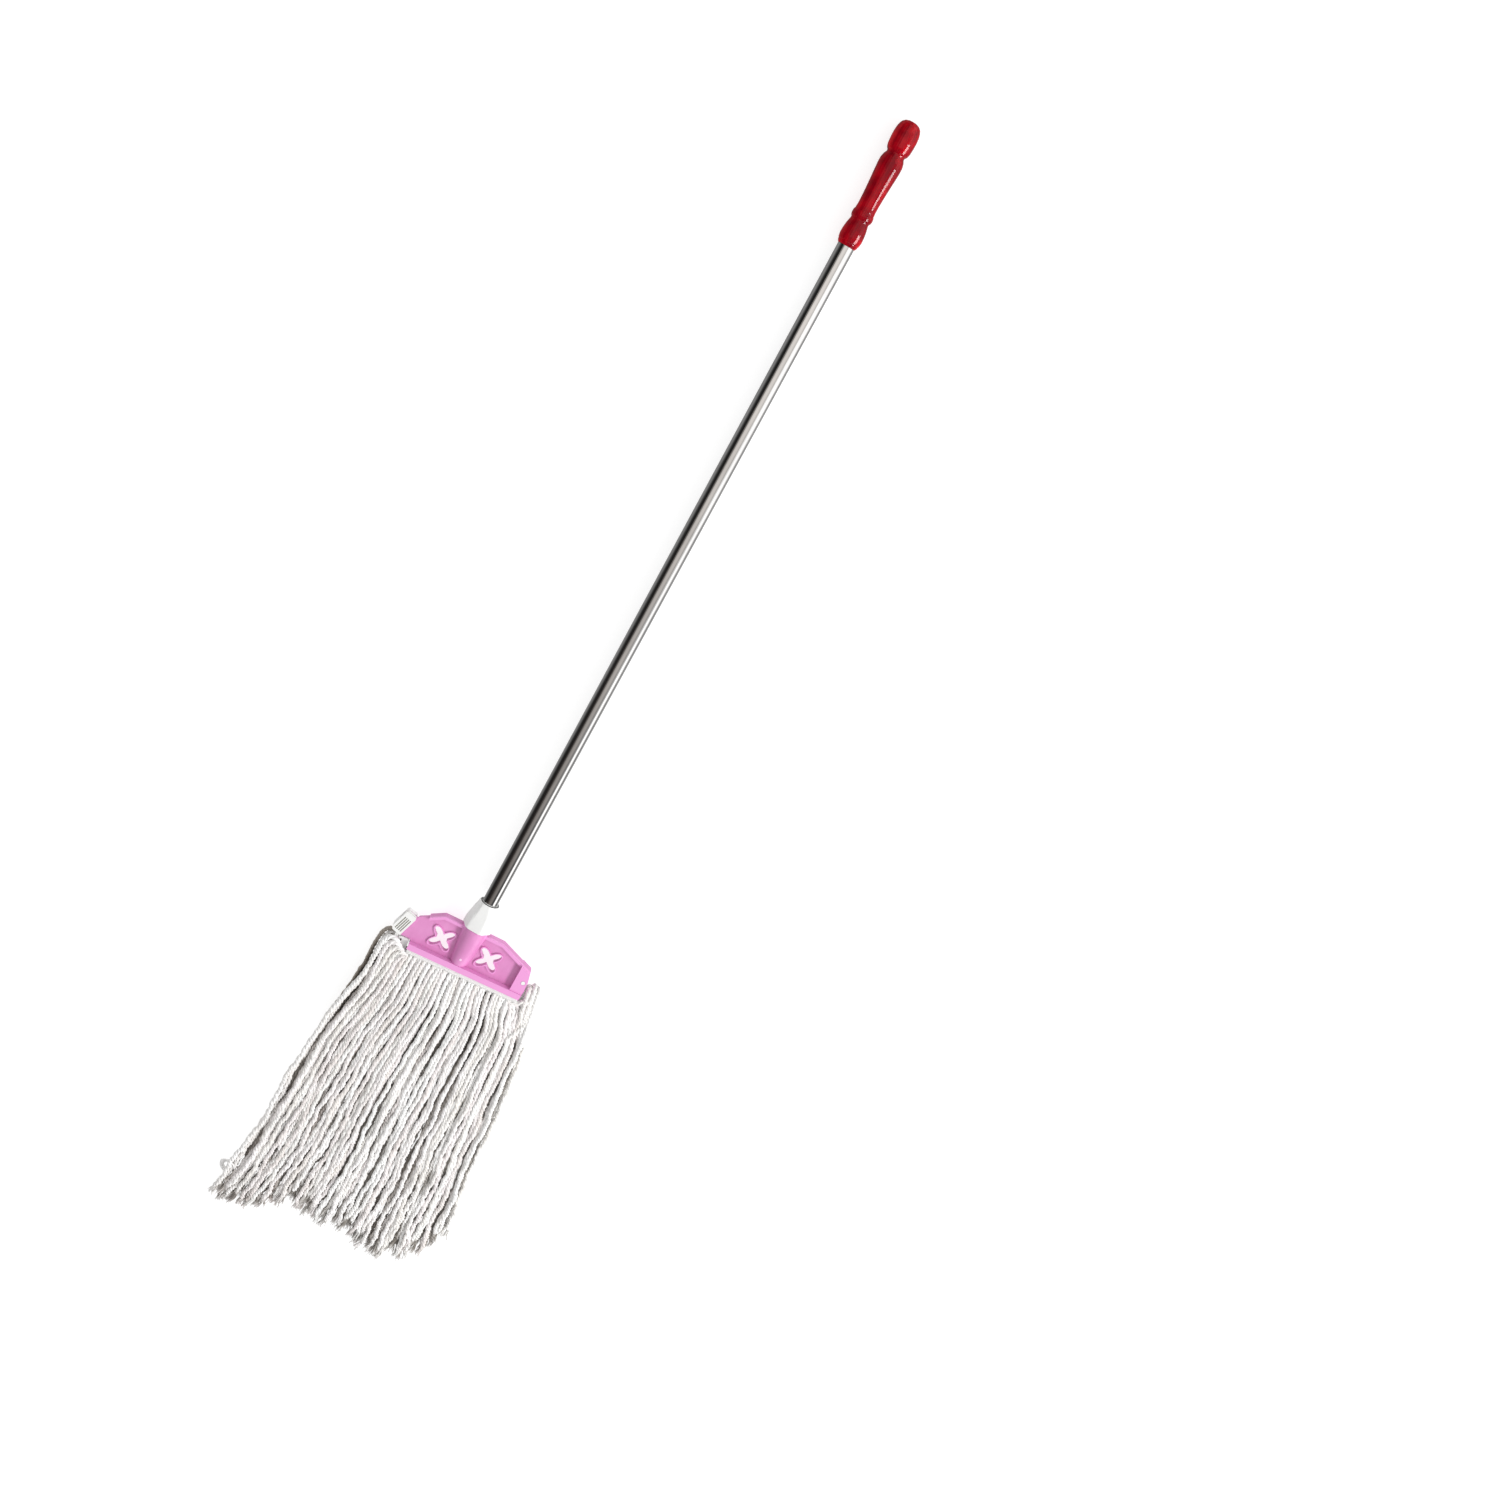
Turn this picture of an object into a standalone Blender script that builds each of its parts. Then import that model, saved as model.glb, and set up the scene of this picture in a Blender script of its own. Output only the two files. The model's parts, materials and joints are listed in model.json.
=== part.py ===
"""String mop: steel handle with a turned grip, plastic clamp head and a cotton yarn bundle.

The mop lies on its back on the ground, z = 0. +Y runs along the handle to the grip,
the yarn points to -Y, +X is the clamp's hinge side and +Z is the front.
"""
import math

import bmesh
import bpy
from mathutils import Vector

# Overall places along Y
JAW_Y = -0.381
NUT_BASE_Y = JAW_Y + 0.070
AXIS_Z = 0.0217
HANDLE_TILT = math.radians(0.27)

# Handle, along its own axis from the nut's base
TUBE_RADIUS = 0.011
TUBE_WALL = 0.0006
TUBE_LOW = -0.0455
TUBE_HIGH = 1.0325
GRIP_LENGTH = 0.1605
TENON_LENGTH = 0.036
TENON_RADIUS = 0.0101
PLUG_LENGTH = 0.020

# Socket, collet and lock nut
FIT_GAP = 0.0003
BOSS_END = -0.0645
BOSS_SMALL_RADIUS = 0.0136
BOSS_LARGE_RADIUS = 0.0190
NECK_RADIUS = 0.0164
NECK_HIGH = 0.0142
SEAT_RADIUS = 0.0139
SEAT_LOW = 0.0030
COLLET_FLANGE_RADIUS = 0.0162
COLLET_TIP_RADIUS = 0.01195
COLLET_HIGH = 0.0432
COLLET_SLIT = 0.0016
NUT_LENGTH = 0.042
NUT_RADIUS = 0.0218
NUT_MOUTH_RADIUS = 0.0149
NUT_TURN = math.radians(11)
RING_INNER_RADIUS = 0.01225
RING_OUTER_RADIUS = 0.0131

# Clamp head, from the middle of its lower edge
WEB_HALF = 0.0020
RIM_HALF = 0.0070
LEDGE_HALF = 0.0130
LEDGE_HEIGHT = 0.0086
CHANNEL_HALF = 0.0105
CHANNEL_ROOF = 0.0052
BLOCK_HALF = 0.0110
BLOCK_LEFT = 0.0816
HEAD_LEFT = -0.0732
HEAD_RIGHT = 0.0996
SHOULDER_Y = 0.0660
FLOWER_X = 0.0360
FLOWER_Y = 0.0325
FLOWER_CORE = 0.0074
FLOWER_PETAL = 0.0126
FLOWER_BORDER_CORE = 0.0100
FLOWER_BORDER_PETAL = 0.0120
FLOWER_BORDER_HALF = 0.0042

# Gate arm and its hinge pin
GATE_PIN_X = 0.0941
GATE_PIN_Y = 0.0265
GATE_PIN_RADIUS = 0.0029
GATE_HALF = 0.0036
BAR_TOP = -0.0060
BAR_BOTTOM = -0.0140
EAR_RADIUS = 0.0070
POST_LEFT = -0.0845
POST_RIGHT = -0.0746
POST_TOP = 0.0098
NOSE_LEFT = -0.0902
NOSE_BOTTOM = 0.0066

# Latch lever on the left slanted edge
LATCH_X = -0.0870
LATCH_Y = 0.0400
LATCH_LEAN = math.radians(17.7)
LATCH_LEFT = -0.0114
LATCH_RIGHT = 0.0056
LATCH_TOP = 0.0080
LATCH_BOTTOM = -0.0270
LATCH_HALF = 0.0080
LATCH_SLOT_HALF = 0.0024
LATCH_SLOT_BOTTOM = -0.0090
LATCH_PIN_RADIUS = 0.0018
HOOK_HALF = 0.0034

# Canvas header tape and the yarn
TAPE_THICKNESS = 0.0012
TAPE_HALF = 0.0100
TAPE_TOP = 0.0034
TAPE_EDGE = -0.0056
TAPE_LEFT = -0.0720
TAPE_RIGHT = 0.0990
CORE_LEFT = -0.0710
CORE_RIGHT = 0.0840
CORE_BOTTOM = -0.0124
YARN_START = -0.0130
YARN_LENGTH = 0.4870
BUNDLES = 6
SHOULDER_BOTTOM = -0.0125
BUNDLE_GAP = 0.0006

SEGMENTS = 48


def clear_scene():
    for obj in list(bpy.data.objects):
        bpy.data.objects.remove(obj, do_unlink=True)


def material(name, colour, roughness, metallic=0.0):
    made = bpy.data.materials.new(name)
    made.use_nodes = True
    shader = made.node_tree.nodes["Principled BSDF"]
    shader.inputs["Base Color"].default_value = (*colour, 1.0)
    shader.inputs["Roughness"].default_value = roughness
    shader.inputs["Metallic"].default_value = metallic
    return made


def empty(name, location, tilt=0.0, lean=0.0, parent=None):
    made = bpy.data.objects.new(name, None)
    bpy.context.collection.objects.link(made)
    made.parent = parent
    made.location = location
    made.rotation_euler = (tilt, 0.0, lean)
    return made


def add_object(name, bm, finish, parent, place=(0.0, 0.0, 0.0)):
    """Link a bmesh as an object under parent, its geometry given in the parent's frame."""
    bmesh.ops.translate(bm, verts=bm.verts, vec=-Vector(place))
    bmesh.ops.recalc_face_normals(bm, faces=bm.faces)
    mesh = bpy.data.meshes.new(name)
    bm.to_mesh(mesh)
    bm.free()
    if finish:
        mesh.materials.append(finish)
    made = bpy.data.objects.new(name, mesh)
    bpy.context.collection.objects.link(made)
    made.parent = parent
    made.location = place
    return made


def shade_round(obj, degrees=35):
    obj.data.shade_smooth()
    obj.data.set_sharp_from_angle(angle=math.radians(degrees))


def prism(points, low, high):
    """Solid between z = low and z = high over a closed outline of (x, y) points."""
    bm = bmesh.new()
    floor = [bm.verts.new((x, y, low)) for x, y in points]
    roof = [bm.verts.new((x, y, high)) for x, y in points]
    bm.faces.new(floor)
    bm.faces.new(roof)
    for i in range(len(points)):
        j = (i + 1) % len(points)
        bm.faces.new((floor[i], floor[j], roof[j], roof[i]))
    return bm


def box(x0, x1, y0, y1, z0, z1):
    return prism([(x0, y0), (x1, y0), (x1, y1), (x0, y1)], z0, z1)


def loft(rings, closed=False):
    """Skin a list of equal rings of points; closed joins the last ring to the first."""
    bm = bmesh.new()
    rows = [[bm.verts.new(p) for p in ring] for ring in rings]
    pairs = list(zip(rows, rows[1:]))
    if closed:
        pairs.append((rows[-1], rows[0]))
    else:
        bm.faces.new(rows[0])
        bm.faces.new(rows[-1])
    for low, high in pairs:
        for i in range(len(low)):
            j = (i + 1) % len(low)
            bm.faces.new((low[i], low[j], high[j], high[i]))
    return bm


def ring_points(radius, y, segments=SEGMENTS):
    turn = 2 * math.pi / segments
    return [(radius * math.sin(i * turn), y, radius * math.cos(i * turn)) for i in range(segments)]


def turned(profile, segments=SEGMENTS):
    """Solid of revolution about Y from (radius, y) points, ends capped flat."""
    return loft([ring_points(r, y, segments) for r, y in profile])


def turned_tube(profile, segments=SEGMENTS):
    """Ring about Y whose section is the closed loop of (radius, y) points."""
    return loft([ring_points(r, y, segments) for r, y in profile], closed=True)


def disc_points(x, y, radius, start=0.0, sweep=2 * math.pi, count=32):
    full = abs(sweep - 2 * math.pi) < 1e-6
    steps = count if full else count - 1
    angles = [start + sweep * i / steps for i in range(count)]
    return [(x + radius * math.cos(a), y + radius * math.sin(a)) for a in angles]


def shape_with(target, operand, operation):
    """Join or cut target with a helper object that stays out of the model."""
    operand.hide_render = True
    operand.display_type = "WIRE"
    step = target.modifiers.new(operand.name, "BOOLEAN")
    step.object = operand
    step.operation = operation
    step.solver = "EXACT"


# ---------------------------------------------------------------- handle

def build_tube(handle, steel):
    inner = TUBE_RADIUS - TUBE_WALL
    section = [(TUBE_RADIUS, TUBE_LOW), (TUBE_RADIUS, TUBE_HIGH), (inner, TUBE_HIGH), (inner, TUBE_LOW)]
    shade_round(add_object("handle_tube", turned_tube(section), steel, handle))


def build_plug(handle, plastic):
    """Cup pressed into the tube's lower end."""
    outer = TUBE_RADIUS - TUBE_WALL - FIT_GAP
    inner = outer - 0.0016
    low = TUBE_LOW + FIT_GAP
    high = low + PLUG_LENGTH
    floor = low + 0.002
    profile = [(outer, low), (outer, high), (inner, high), (inner, floor)]
    bm = turned(profile, 32)
    shade_round(add_object("tube_plug", bm, plastic, handle))


def grip_radius_points():
    """(share of the length, radius) down the turned grip, bottom to top."""
    return [
        (0.000, 0.0112), (0.006, 0.0122), (0.022, 0.0134), (0.030, 0.0133), (0.036, 0.0141),
        (0.070, 0.0151), (0.110, 0.0148), (0.150, 0.0140), (0.180, 0.0129), (0.200, 0.0121),
        (0.212, 0.0122), (0.222, 0.0134), (0.240, 0.0141), (0.262, 0.0139), (0.275, 0.0131),
        (0.281, 0.0127), (0.288, 0.0128), (0.310, 0.0124), (0.360, 0.0125), (0.430, 0.0130),
        (0.500, 0.0137), (0.580, 0.0146), (0.640, 0.0152), (0.680, 0.0151), (0.712, 0.0138),
        (0.735, 0.0119), (0.748, 0.0120), (0.762, 0.0139), (0.790, 0.0153), (0.840, 0.0159),
        (0.880, 0.0160), (0.920, 0.0154), (0.950, 0.0142), (0.972, 0.0124), (0.988, 0.0096),
        (0.997, 0.0058), (1.000, 0.0020),
    ]


def build_grip(handle, lacquer):
    """Turned grip whose tenon fills the top of the tube."""
    start = TUBE_HIGH + FIT_GAP
    profile = [(TENON_RADIUS - 0.0006, start - TENON_LENGTH), (TENON_RADIUS, start - TENON_LENGTH + 0.001)]
    profile += [(TENON_RADIUS, start)]
    profile += [(radius, start + share * GRIP_LENGTH) for share, radius in grip_radius_points()]
    shade_round(add_object("grip", turned(profile, 32), lacquer, handle), 50)


# ---------------------------------------------------------------- nut, ring and collet

def nut_ring_points(radius, flat_share, y):
    """Hexagon with rounded corners: flats at flat_share of the corner radius."""
    points = []
    sixth = math.radians(60)
    for i in range(SEGMENTS):
        angle = 2 * math.pi * i / SEGMENTS
        from_flat = (angle - sixth / 2) % sixth - sixth / 2
        reach = min(radius, flat_share * radius / math.cos(from_flat))
        bearing = angle + NUT_TURN
        points.append((-reach * math.sin(bearing), y, reach * math.cos(bearing)))
    return points


def build_nut(handle, white):
    outside = [
        (0.0212, 0.0, 0.93), (NUT_RADIUS, 0.0010, 0.90), (0.0214, 0.010, 0.90), (0.0186, 0.025, 0.91),
        (0.0161, 0.036, 0.93), (NUT_MOUTH_RADIUS, 0.0412, 0.97), (0.0144, NUT_LENGTH, 0.99),
    ]
    inside = [
        (0.0134, NUT_LENGTH), (0.0134, 0.0394), (0.0125, 0.0390), (0.0158, 0.0186),
        (0.0169, 0.0180), (0.0169, 0.0),
    ]
    rings = [nut_ring_points(radius, share, y) for radius, y, share in outside]
    for radius, y in inside:
        rings.append(turn_ring([(-x, y, z) for x, y, z in ring_points(radius, y)]))
    shade_round(add_object("lock_nut", loft(rings, closed=True), white, handle), 22)


def turn_ring(ring):
    """Turn a ring about Y so its points line up with the nut's corners."""
    c = math.cos(NUT_TURN)
    s = math.sin(NUT_TURN)
    return [(x * c - z * s, y, x * s + z * c) for x, y, z in ring]


def build_nut_ring(handle, rubber):
    low = 0.0397
    high = 0.0427
    edge = 0.0003
    section = [
        (RING_OUTER_RADIUS, low), (RING_OUTER_RADIUS, high - edge), (RING_OUTER_RADIUS - edge, high),
        (RING_INNER_RADIUS + edge, high), (RING_INNER_RADIUS, high - edge), (RING_INNER_RADIUS, low),
    ]
    shade_round(add_object("nut_ring", turned_tube(section), rubber, handle))


def build_collet(handle, grey):
    """Split sleeve that the nut's cone squeezes onto the tube."""
    bore = TUBE_RADIUS + FIT_GAP
    section = [
        (SEAT_RADIUS - FIT_GAP, SEAT_LOW + FIT_GAP), (SEAT_RADIUS - FIT_GAP, NECK_HIGH + FIT_GAP),
        (COLLET_FLANGE_RADIUS, NECK_HIGH + FIT_GAP), (COLLET_FLANGE_RADIUS, 0.0174),
        (0.0154, 0.0182), (COLLET_TIP_RADIUS, 0.0385), (COLLET_TIP_RADIUS, COLLET_HIGH - 0.0004),
        (COLLET_TIP_RADIUS - 0.0003, COLLET_HIGH), (bore, COLLET_HIGH), (bore, SEAT_LOW + FIT_GAP),
    ]
    collet = add_object("collet", turned_tube(section), grey, handle)
    for i in range(4):
        angle = math.radians(45 + 90 * i)
        half = COLLET_SLIT / 2
        bm = box(-half, half, 0.020, 0.050, 0.009, 0.020)
        slit = add_object(f"collet_slit_{i + 1}", bm, None, handle)
        slit.rotation_euler = (0.0, angle, 0.0)
        shape_with(collet, slit, "DIFFERENCE")
    shade_round(collet)


# ---------------------------------------------------------------- clamp head

def head_outline():
    return [
        (HEAD_LEFT, 0.0), (HEAD_RIGHT, 0.0), (0.1013, 0.0140), (0.1002, 0.0290), (0.0970, 0.0435),
        (0.0450, SHOULDER_Y - 0.0006), (-0.0460, SHOULDER_Y + 0.0006), (-0.0774, 0.0478),
        (-0.0891, 0.0112), (-0.0759, 0.0112), (HEAD_LEFT, 0.0090),
    ]


def recess_outline():
    """Panel area between the rim, the ledge and the hinge block, open beside the latch."""
    return [
        (BLOCK_LEFT, LEDGE_HEIGHT), (BLOCK_LEFT, 0.0452), (0.0440, 0.0612), (-0.0450, 0.0623),
        (-0.0630, 0.0516), (-0.0680, 0.0620), (-0.1100, 0.0620), (-0.1100, LEDGE_HEIGHT),
    ]


def flower_outline(centre_x, core, petal, count=56):
    points = []
    for i in range(count):
        angle = 2 * math.pi * i / count
        lobe = math.cos(2 * (angle - math.radians(45))) ** 2
        reach = core + petal * lobe
        points.append((centre_x + reach * math.cos(angle), FLOWER_Y + reach * math.sin(angle)))
    return points


def boss_profile():
    return [
        (0.0060, BOSS_END), (0.0098, BOSS_END + 0.0012), (0.0124, BOSS_END + 0.0040),
        (BOSS_SMALL_RADIUS, BOSS_END + 0.0085), (BOSS_LARGE_RADIUS, -0.0022),
        (BOSS_LARGE_RADIUS - 0.0008, -0.0010), (NECK_RADIUS, -0.0010), (NECK_RADIUS, NECK_HIGH),
    ]


def build_head_frame(head, handle, pink):
    frame = add_object("head_frame", prism(head_outline(), -RIM_HALF, RIM_HALF), pink, head)
    helpers = []

    def join(name, bm, parent=head):
        helpers.append((add_object(name, bm, None, parent), "UNION"))

    def cut(name, bm, parent=head):
        helpers.append((add_object(name, bm, None, parent), "DIFFERENCE"))

    cut("recess_front", prism(recess_outline(), WEB_HALF, 0.020))
    cut("recess_back", prism(recess_outline(), -0.020, -WEB_HALF))
    for side, x in (("left", -FLOWER_X), ("right", FLOWER_X)):
        border = flower_outline(x, FLOWER_BORDER_CORE, FLOWER_BORDER_PETAL)
        join(f"flower_border_{side}", prism(border, -FLOWER_BORDER_HALF, FLOWER_BORDER_HALF))
    ledge = [
        (HEAD_LEFT, 0.00002), (HEAD_RIGHT, 0.00002), (0.1005, LEDGE_HEIGHT + 0.0001),
        (HEAD_LEFT, LEDGE_HEIGHT + 0.0001),
    ]
    join("ledge", prism(ledge, -LEDGE_HALF, LEDGE_HALF))
    block = [
        (BLOCK_LEFT, 0.0003), (0.0995, 0.0003), (0.1010, 0.0140), (0.1000, 0.0288), (0.0967, 0.0432),
        (BLOCK_LEFT, 0.0494),
    ]
    join("hinge_block", prism(block, -BLOCK_HALF, BLOCK_HALF))
    join("boss", turned(boss_profile()), handle)
    ear = [(-0.0810, 0.0455), (-0.0780, 0.0445), (-0.0800, 0.0370), (-0.0835, 0.0350)]
    join("latch_ear_root", prism(ear, -WEB_HALF + 0.0001, WEB_HALF - 0.0001))
    join("latch_ear", prism(disc_points(LATCH_X, LATCH_Y, 0.0055), -WEB_HALF + 0.0001, WEB_HALF - 0.0001))
    bridge = [(LATCH_X, LATCH_Y + 0.0053), (-0.0805, 0.0450), (-0.0828, 0.0352), (LATCH_X, LATCH_Y - 0.0053)]
    join("latch_ear_bridge", prism(bridge, -WEB_HALF + 0.0002, WEB_HALF - 0.0002))

    cut("jaw_channel", box(-0.090, 0.120, -0.010, CHANNEL_ROOF, -CHANNEL_HALF, CHANNEL_HALF))
    for side, x in (("left", -FLOWER_X), ("right", FLOWER_X)):
        cut(f"flower_hole_{side}", prism(flower_outline(x, FLOWER_CORE, FLOWER_PETAL), -0.010, 0.010))
    slot_half = GATE_HALF + 0.0006
    cut("ear_slot", box(0.0855, 0.120, -0.010, GATE_PIN_Y + 0.0095, -slot_half, slot_half))
    pin_hole = disc_points(GATE_PIN_X, GATE_PIN_Y, GATE_PIN_RADIUS + FIT_GAP)
    cut("gate_pin_hole", prism(pin_hole, -0.020, 0.020))
    latch_hole = disc_points(LATCH_X, LATCH_Y, LATCH_PIN_RADIUS + FIT_GAP, count=24)
    cut("latch_pin_hole", prism(latch_hole, -0.010, 0.010))
    bore = TUBE_RADIUS + FIT_GAP + 0.00005
    socket = [
        (bore, TUBE_LOW - 0.001), (bore, SEAT_LOW), (SEAT_RADIUS, SEAT_LOW + 0.0001), (SEAT_RADIUS, 0.030),
    ]
    cut("socket_bore", turned(socket), handle)
    for helper, operation in helpers:
        shape_with(frame, helper, operation)
    shade_round(frame, 30)


def build_pins(head, white, steel):
    gate_pin = prism(disc_points(GATE_PIN_X, GATE_PIN_Y, GATE_PIN_RADIUS, count=28), -0.0114, 0.0114)
    obj = add_object("gate_pin", gate_pin, white, head, (GATE_PIN_X, GATE_PIN_Y, 0.0))
    shade_round(obj)
    latch_pin = prism(disc_points(LATCH_X, LATCH_Y, LATCH_PIN_RADIUS, count=20), -0.0079, 0.0058)
    obj = add_object("latch_pin", latch_pin, steel, head, (LATCH_X, LATCH_Y, 0.0))
    shade_round(obj)


# ---------------------------------------------------------------- gate arm and latch

def gate_outline():
    """Bar under the yarn fold, hinge ear on the right, hooked post on the left."""
    ear_left = GATE_PIN_X - 0.0062
    ear_right = GATE_PIN_X + 0.0044
    top = disc_points(GATE_PIN_X, GATE_PIN_Y, EAR_RADIUS, math.radians(-35), math.radians(250), 22)
    return top + [
        (ear_left, GATE_PIN_Y - 0.0062), (ear_left, BAR_TOP), (POST_RIGHT, BAR_TOP),
        (POST_RIGHT, POST_TOP - 0.0025), (POST_RIGHT - 0.0025, POST_TOP), (POST_LEFT - 0.0020, POST_TOP),
        (NOSE_LEFT, NOSE_BOTTOM + 0.0012), (NOSE_LEFT, NOSE_BOTTOM), (POST_LEFT, NOSE_BOTTOM),
        (POST_LEFT, BAR_BOTTOM + 0.002), (POST_LEFT + 0.002, BAR_BOTTOM), (ear_right - 0.002, BAR_BOTTOM),
        (ear_right, BAR_BOTTOM + 0.002), (ear_right, GATE_PIN_Y - 0.0060),
    ]


def build_gate_arm(head, white):
    pivot = (GATE_PIN_X, GATE_PIN_Y, 0.0)
    arm = add_object("gate_arm", prism(gate_outline(), -GATE_HALF, GATE_HALF), white, head, pivot)
    hole = disc_points(GATE_PIN_X, GATE_PIN_Y, GATE_PIN_RADIUS + FIT_GAP)
    cutter = add_object("gate_arm_hole", prism(hole, -0.010, 0.010), None, head)
    shape_with(arm, cutter, "DIFFERENCE")
    shade_round(arm, 30)


def to_latch(x, y):
    """Head position as a position in the latch's leaning frame."""
    dx = x - LATCH_X
    dy = y - LATCH_Y
    c = math.cos(LATCH_LEAN)
    s = math.sin(LATCH_LEAN)
    return (dx * c - dy * s, dx * s + dy * c)


def build_latch(head, white):
    pivot = empty("latch_pivot", (LATCH_X, LATCH_Y, 0.0), lean=-LATCH_LEAN, parent=head)
    corner = 0.0022
    body = [
        (LATCH_RIGHT, LATCH_BOTTOM), (LATCH_RIGHT, LATCH_TOP - corner), (LATCH_RIGHT - corner, LATCH_TOP),
        (LATCH_LEFT + corner, LATCH_TOP), (LATCH_LEFT, LATCH_TOP - corner),
        (LATCH_LEFT, LATCH_BOTTOM + 0.004), (LATCH_LEFT + 0.003, LATCH_BOTTOM),
    ]
    latch = add_object("latch", prism(body, -LATCH_HALF, LATCH_HALF), white, pivot)
    hook = [
        (-0.0970, 0.0180), (-0.0962, 0.0036), (-0.0948, 0.0022), (-0.0876, 0.0022), (-0.0870, 0.0032),
        (-0.0870, 0.0052), (-0.0915, 0.0054), (-0.0916, 0.0180),
    ]
    hook_bm = prism([to_latch(x, y) for x, y in hook], -HOOK_HALF, HOOK_HALF)
    shape_with(latch, add_object("latch_hook", hook_bm, None, pivot), "UNION")
    slot = box(-0.030, 0.030, LATCH_SLOT_BOTTOM, 0.030, -LATCH_SLOT_HALF, LATCH_SLOT_HALF)
    shape_with(latch, add_object("latch_slot", slot, None, pivot), "DIFFERENCE")
    hole = prism(disc_points(0.0, 0.0, LATCH_PIN_RADIUS + FIT_GAP, count=24), -0.020, 0.0061)
    shape_with(latch, add_object("latch_hole", hole, None, pivot), "DIFFERENCE")
    for i in range(4):
        x = LATCH_LEFT + 0.0034 + 0.0030 * i
        groove = box(x, x + 0.0017, LATCH_BOTTOM + 0.004, LATCH_TOP - 0.0085, LATCH_HALF - 0.0014, 0.020)
        shape_with(latch, add_object(f"latch_groove_{i + 1}", groove, None, pivot), "DIFFERENCE")
    shade_round(latch, 30)


# ---------------------------------------------------------------- canvas tape and yarn

def arch_section(half, top, bottom, thickness, corner):
    """Outline of an upside-down U in (y, z): outer arc, then the inner one back."""
    def side(half_width, roof, low, round_by):
        points = [(low, -half_width)]
        for i in range(5):
            angle = math.radians(90) * i / 4
            y = roof - round_by + round_by * math.sin(angle)
            points.append((y, -half_width + round_by - round_by * math.cos(angle)))
        return points + [(y, -z) for y, z in reversed(points)]
    outer = side(half, top, bottom, corner)
    inner = side(half - thickness, top - thickness, bottom, corner - thickness * 0.6)
    return outer + inner[::-1]


def arch(section, left, right):
    return loft([[(x, y, z) for y, z in section] for x in (left, right)])


def build_tape(head, canvas):
    section = arch_section(TAPE_HALF, TAPE_TOP, TAPE_EDGE, TAPE_THICKNESS, 0.0034)
    tape = add_object("header_tape", arch(section, TAPE_LEFT, TAPE_RIGHT), canvas, head)
    ear_gap = box(0.0850, 0.120, -0.0050, 0.0100, -0.0065, 0.0065)
    shape_with(tape, add_object("tape_ear_gap", ear_gap, None, head), "DIFFERENCE")


def build_yarn_core(head, cotton):
    """The folded yarn squeezed between the tape and the gate bar."""
    half = TAPE_HALF - TAPE_THICKNESS - FIT_GAP
    leg = half - GATE_HALF - FIT_GAP
    section = arch_section(half, TAPE_TOP - TAPE_THICKNESS - FIT_GAP, CORE_BOTTOM, leg, 0.0032)
    add_object("yarn_fold", arch(section, CORE_LEFT, CORE_RIGHT), cotton, head)


def ease(value):
    value = min(max(value, 0.0), 1.0)
    return value * value * (3.0 - 2.0 * value)


def yarn_edges(y):
    """Left and right edge of the spread yarn at y below the jaw."""
    drops = [(-0.013, -0.115, 0.128), (-0.075, -0.119, 0.144), (-0.180, -0.136, 0.158)]
    drops += [(-0.350, -0.141, 0.163), (-0.440, -0.152, 0.168), (-0.500, -0.163, 0.172)]
    for (high, left_high, right_high), (low, left_low, right_low) in zip(drops, drops[1:]):
        if y >= low or low == drops[-1][0]:
            share = (high - y) / (high - low)
            return (left_high + (left_low - left_high) * share, right_high + (right_low - right_high) * share)


def bundle_rings(index, front):
    """Sections of one lock of yarn from the jaw to its tip, on the ground in the far part."""
    rings = []
    stations = [0.0, 0.02, 0.05, 0.10, 0.17, 0.27, 0.42, 0.62, 0.82, 0.985, 1.0]
    for share in stations:
        y = YARN_START - YARN_LENGTH * share
        fall = ease(share * YARN_LENGTH / (0.170 if front else 0.070))
        swell = ease(share / 0.06) * (1.0 - 0.5 * ease((share - 0.1) / 0.3))
        half = 0.0031 + 0.0020 * swell
        if front:
            level = (AXIS_Z + 0.0072) * (1.0 - fall) + 0.0128 * fall
        else:
            level = (AXIS_Z - 0.0072) * (1.0 - fall) + (half + 0.0001) * fall
        if share == 1.0:
            half = half * 0.6
        left, right = yarn_edges(y)
        width = (right - left) / BUNDLES
        x = left + width * (index + 0.5)
        half_width = width / 2.0 - BUNDLE_GAP / 2.0
        soft = half * 0.55
        ring = [
            (x - half_width, y, -half + soft), (x - half_width + soft, y, -half),
            (x + half_width - soft, y, -half), (x + half_width, y, -half + soft),
            (x + half_width, y, half - soft), (x + half_width - soft, y, half),
            (x - half_width + soft, y, half), (x - half_width, y, half - soft),
        ]
        rings.append([(px, py, pz + level - AXIS_Z) for px, py, pz in ring])
    return rings


def build_yarn(head, cotton):
    for side, front in (("front", True), ("back", False)):
        for index in range(BUNDLES):
            obj = add_object(f"yarn_{side}_{index + 1}", loft(bundle_rings(index, front)), cotton, head)
            shade_round(obj, 60)


def build_yarn_shoulders(head, cotton):
    """The yarn that bulges up beside the two ends of the clamp."""
    right = [
        (0.1045, SHOULDER_BOTTOM), (0.1045, -0.0020), (0.1076, 0.0105), (0.1125, 0.0190), (0.1132, 0.0250),
        (0.1152, 0.0290), (0.1185, 0.0290), (0.1202, 0.0240), (0.1225, 0.0020), (0.1250, SHOULDER_BOTTOM),
    ]
    left = [
        (-0.0850, SHOULDER_BOTTOM), (-0.0850, 0.0005), (-0.0925, 0.0095), (-0.0985, 0.0120),
        (-0.1060, 0.0120), (-0.1125, 0.0085), (-0.1150, 0.0020), (-0.1150, SHOULDER_BOTTOM),
    ]
    inner = GATE_HALF + FIT_GAP
    outer = TAPE_HALF - TAPE_THICKNESS
    add_object("yarn_shoulder_right", prism(right, -outer, outer), cotton, head)
    add_object("yarn_shoulder_left_front", prism(left, inner, outer), cotton, head)
    add_object("yarn_shoulder_left_back", prism(left, -outer, -inner), cotton, head)


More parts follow.
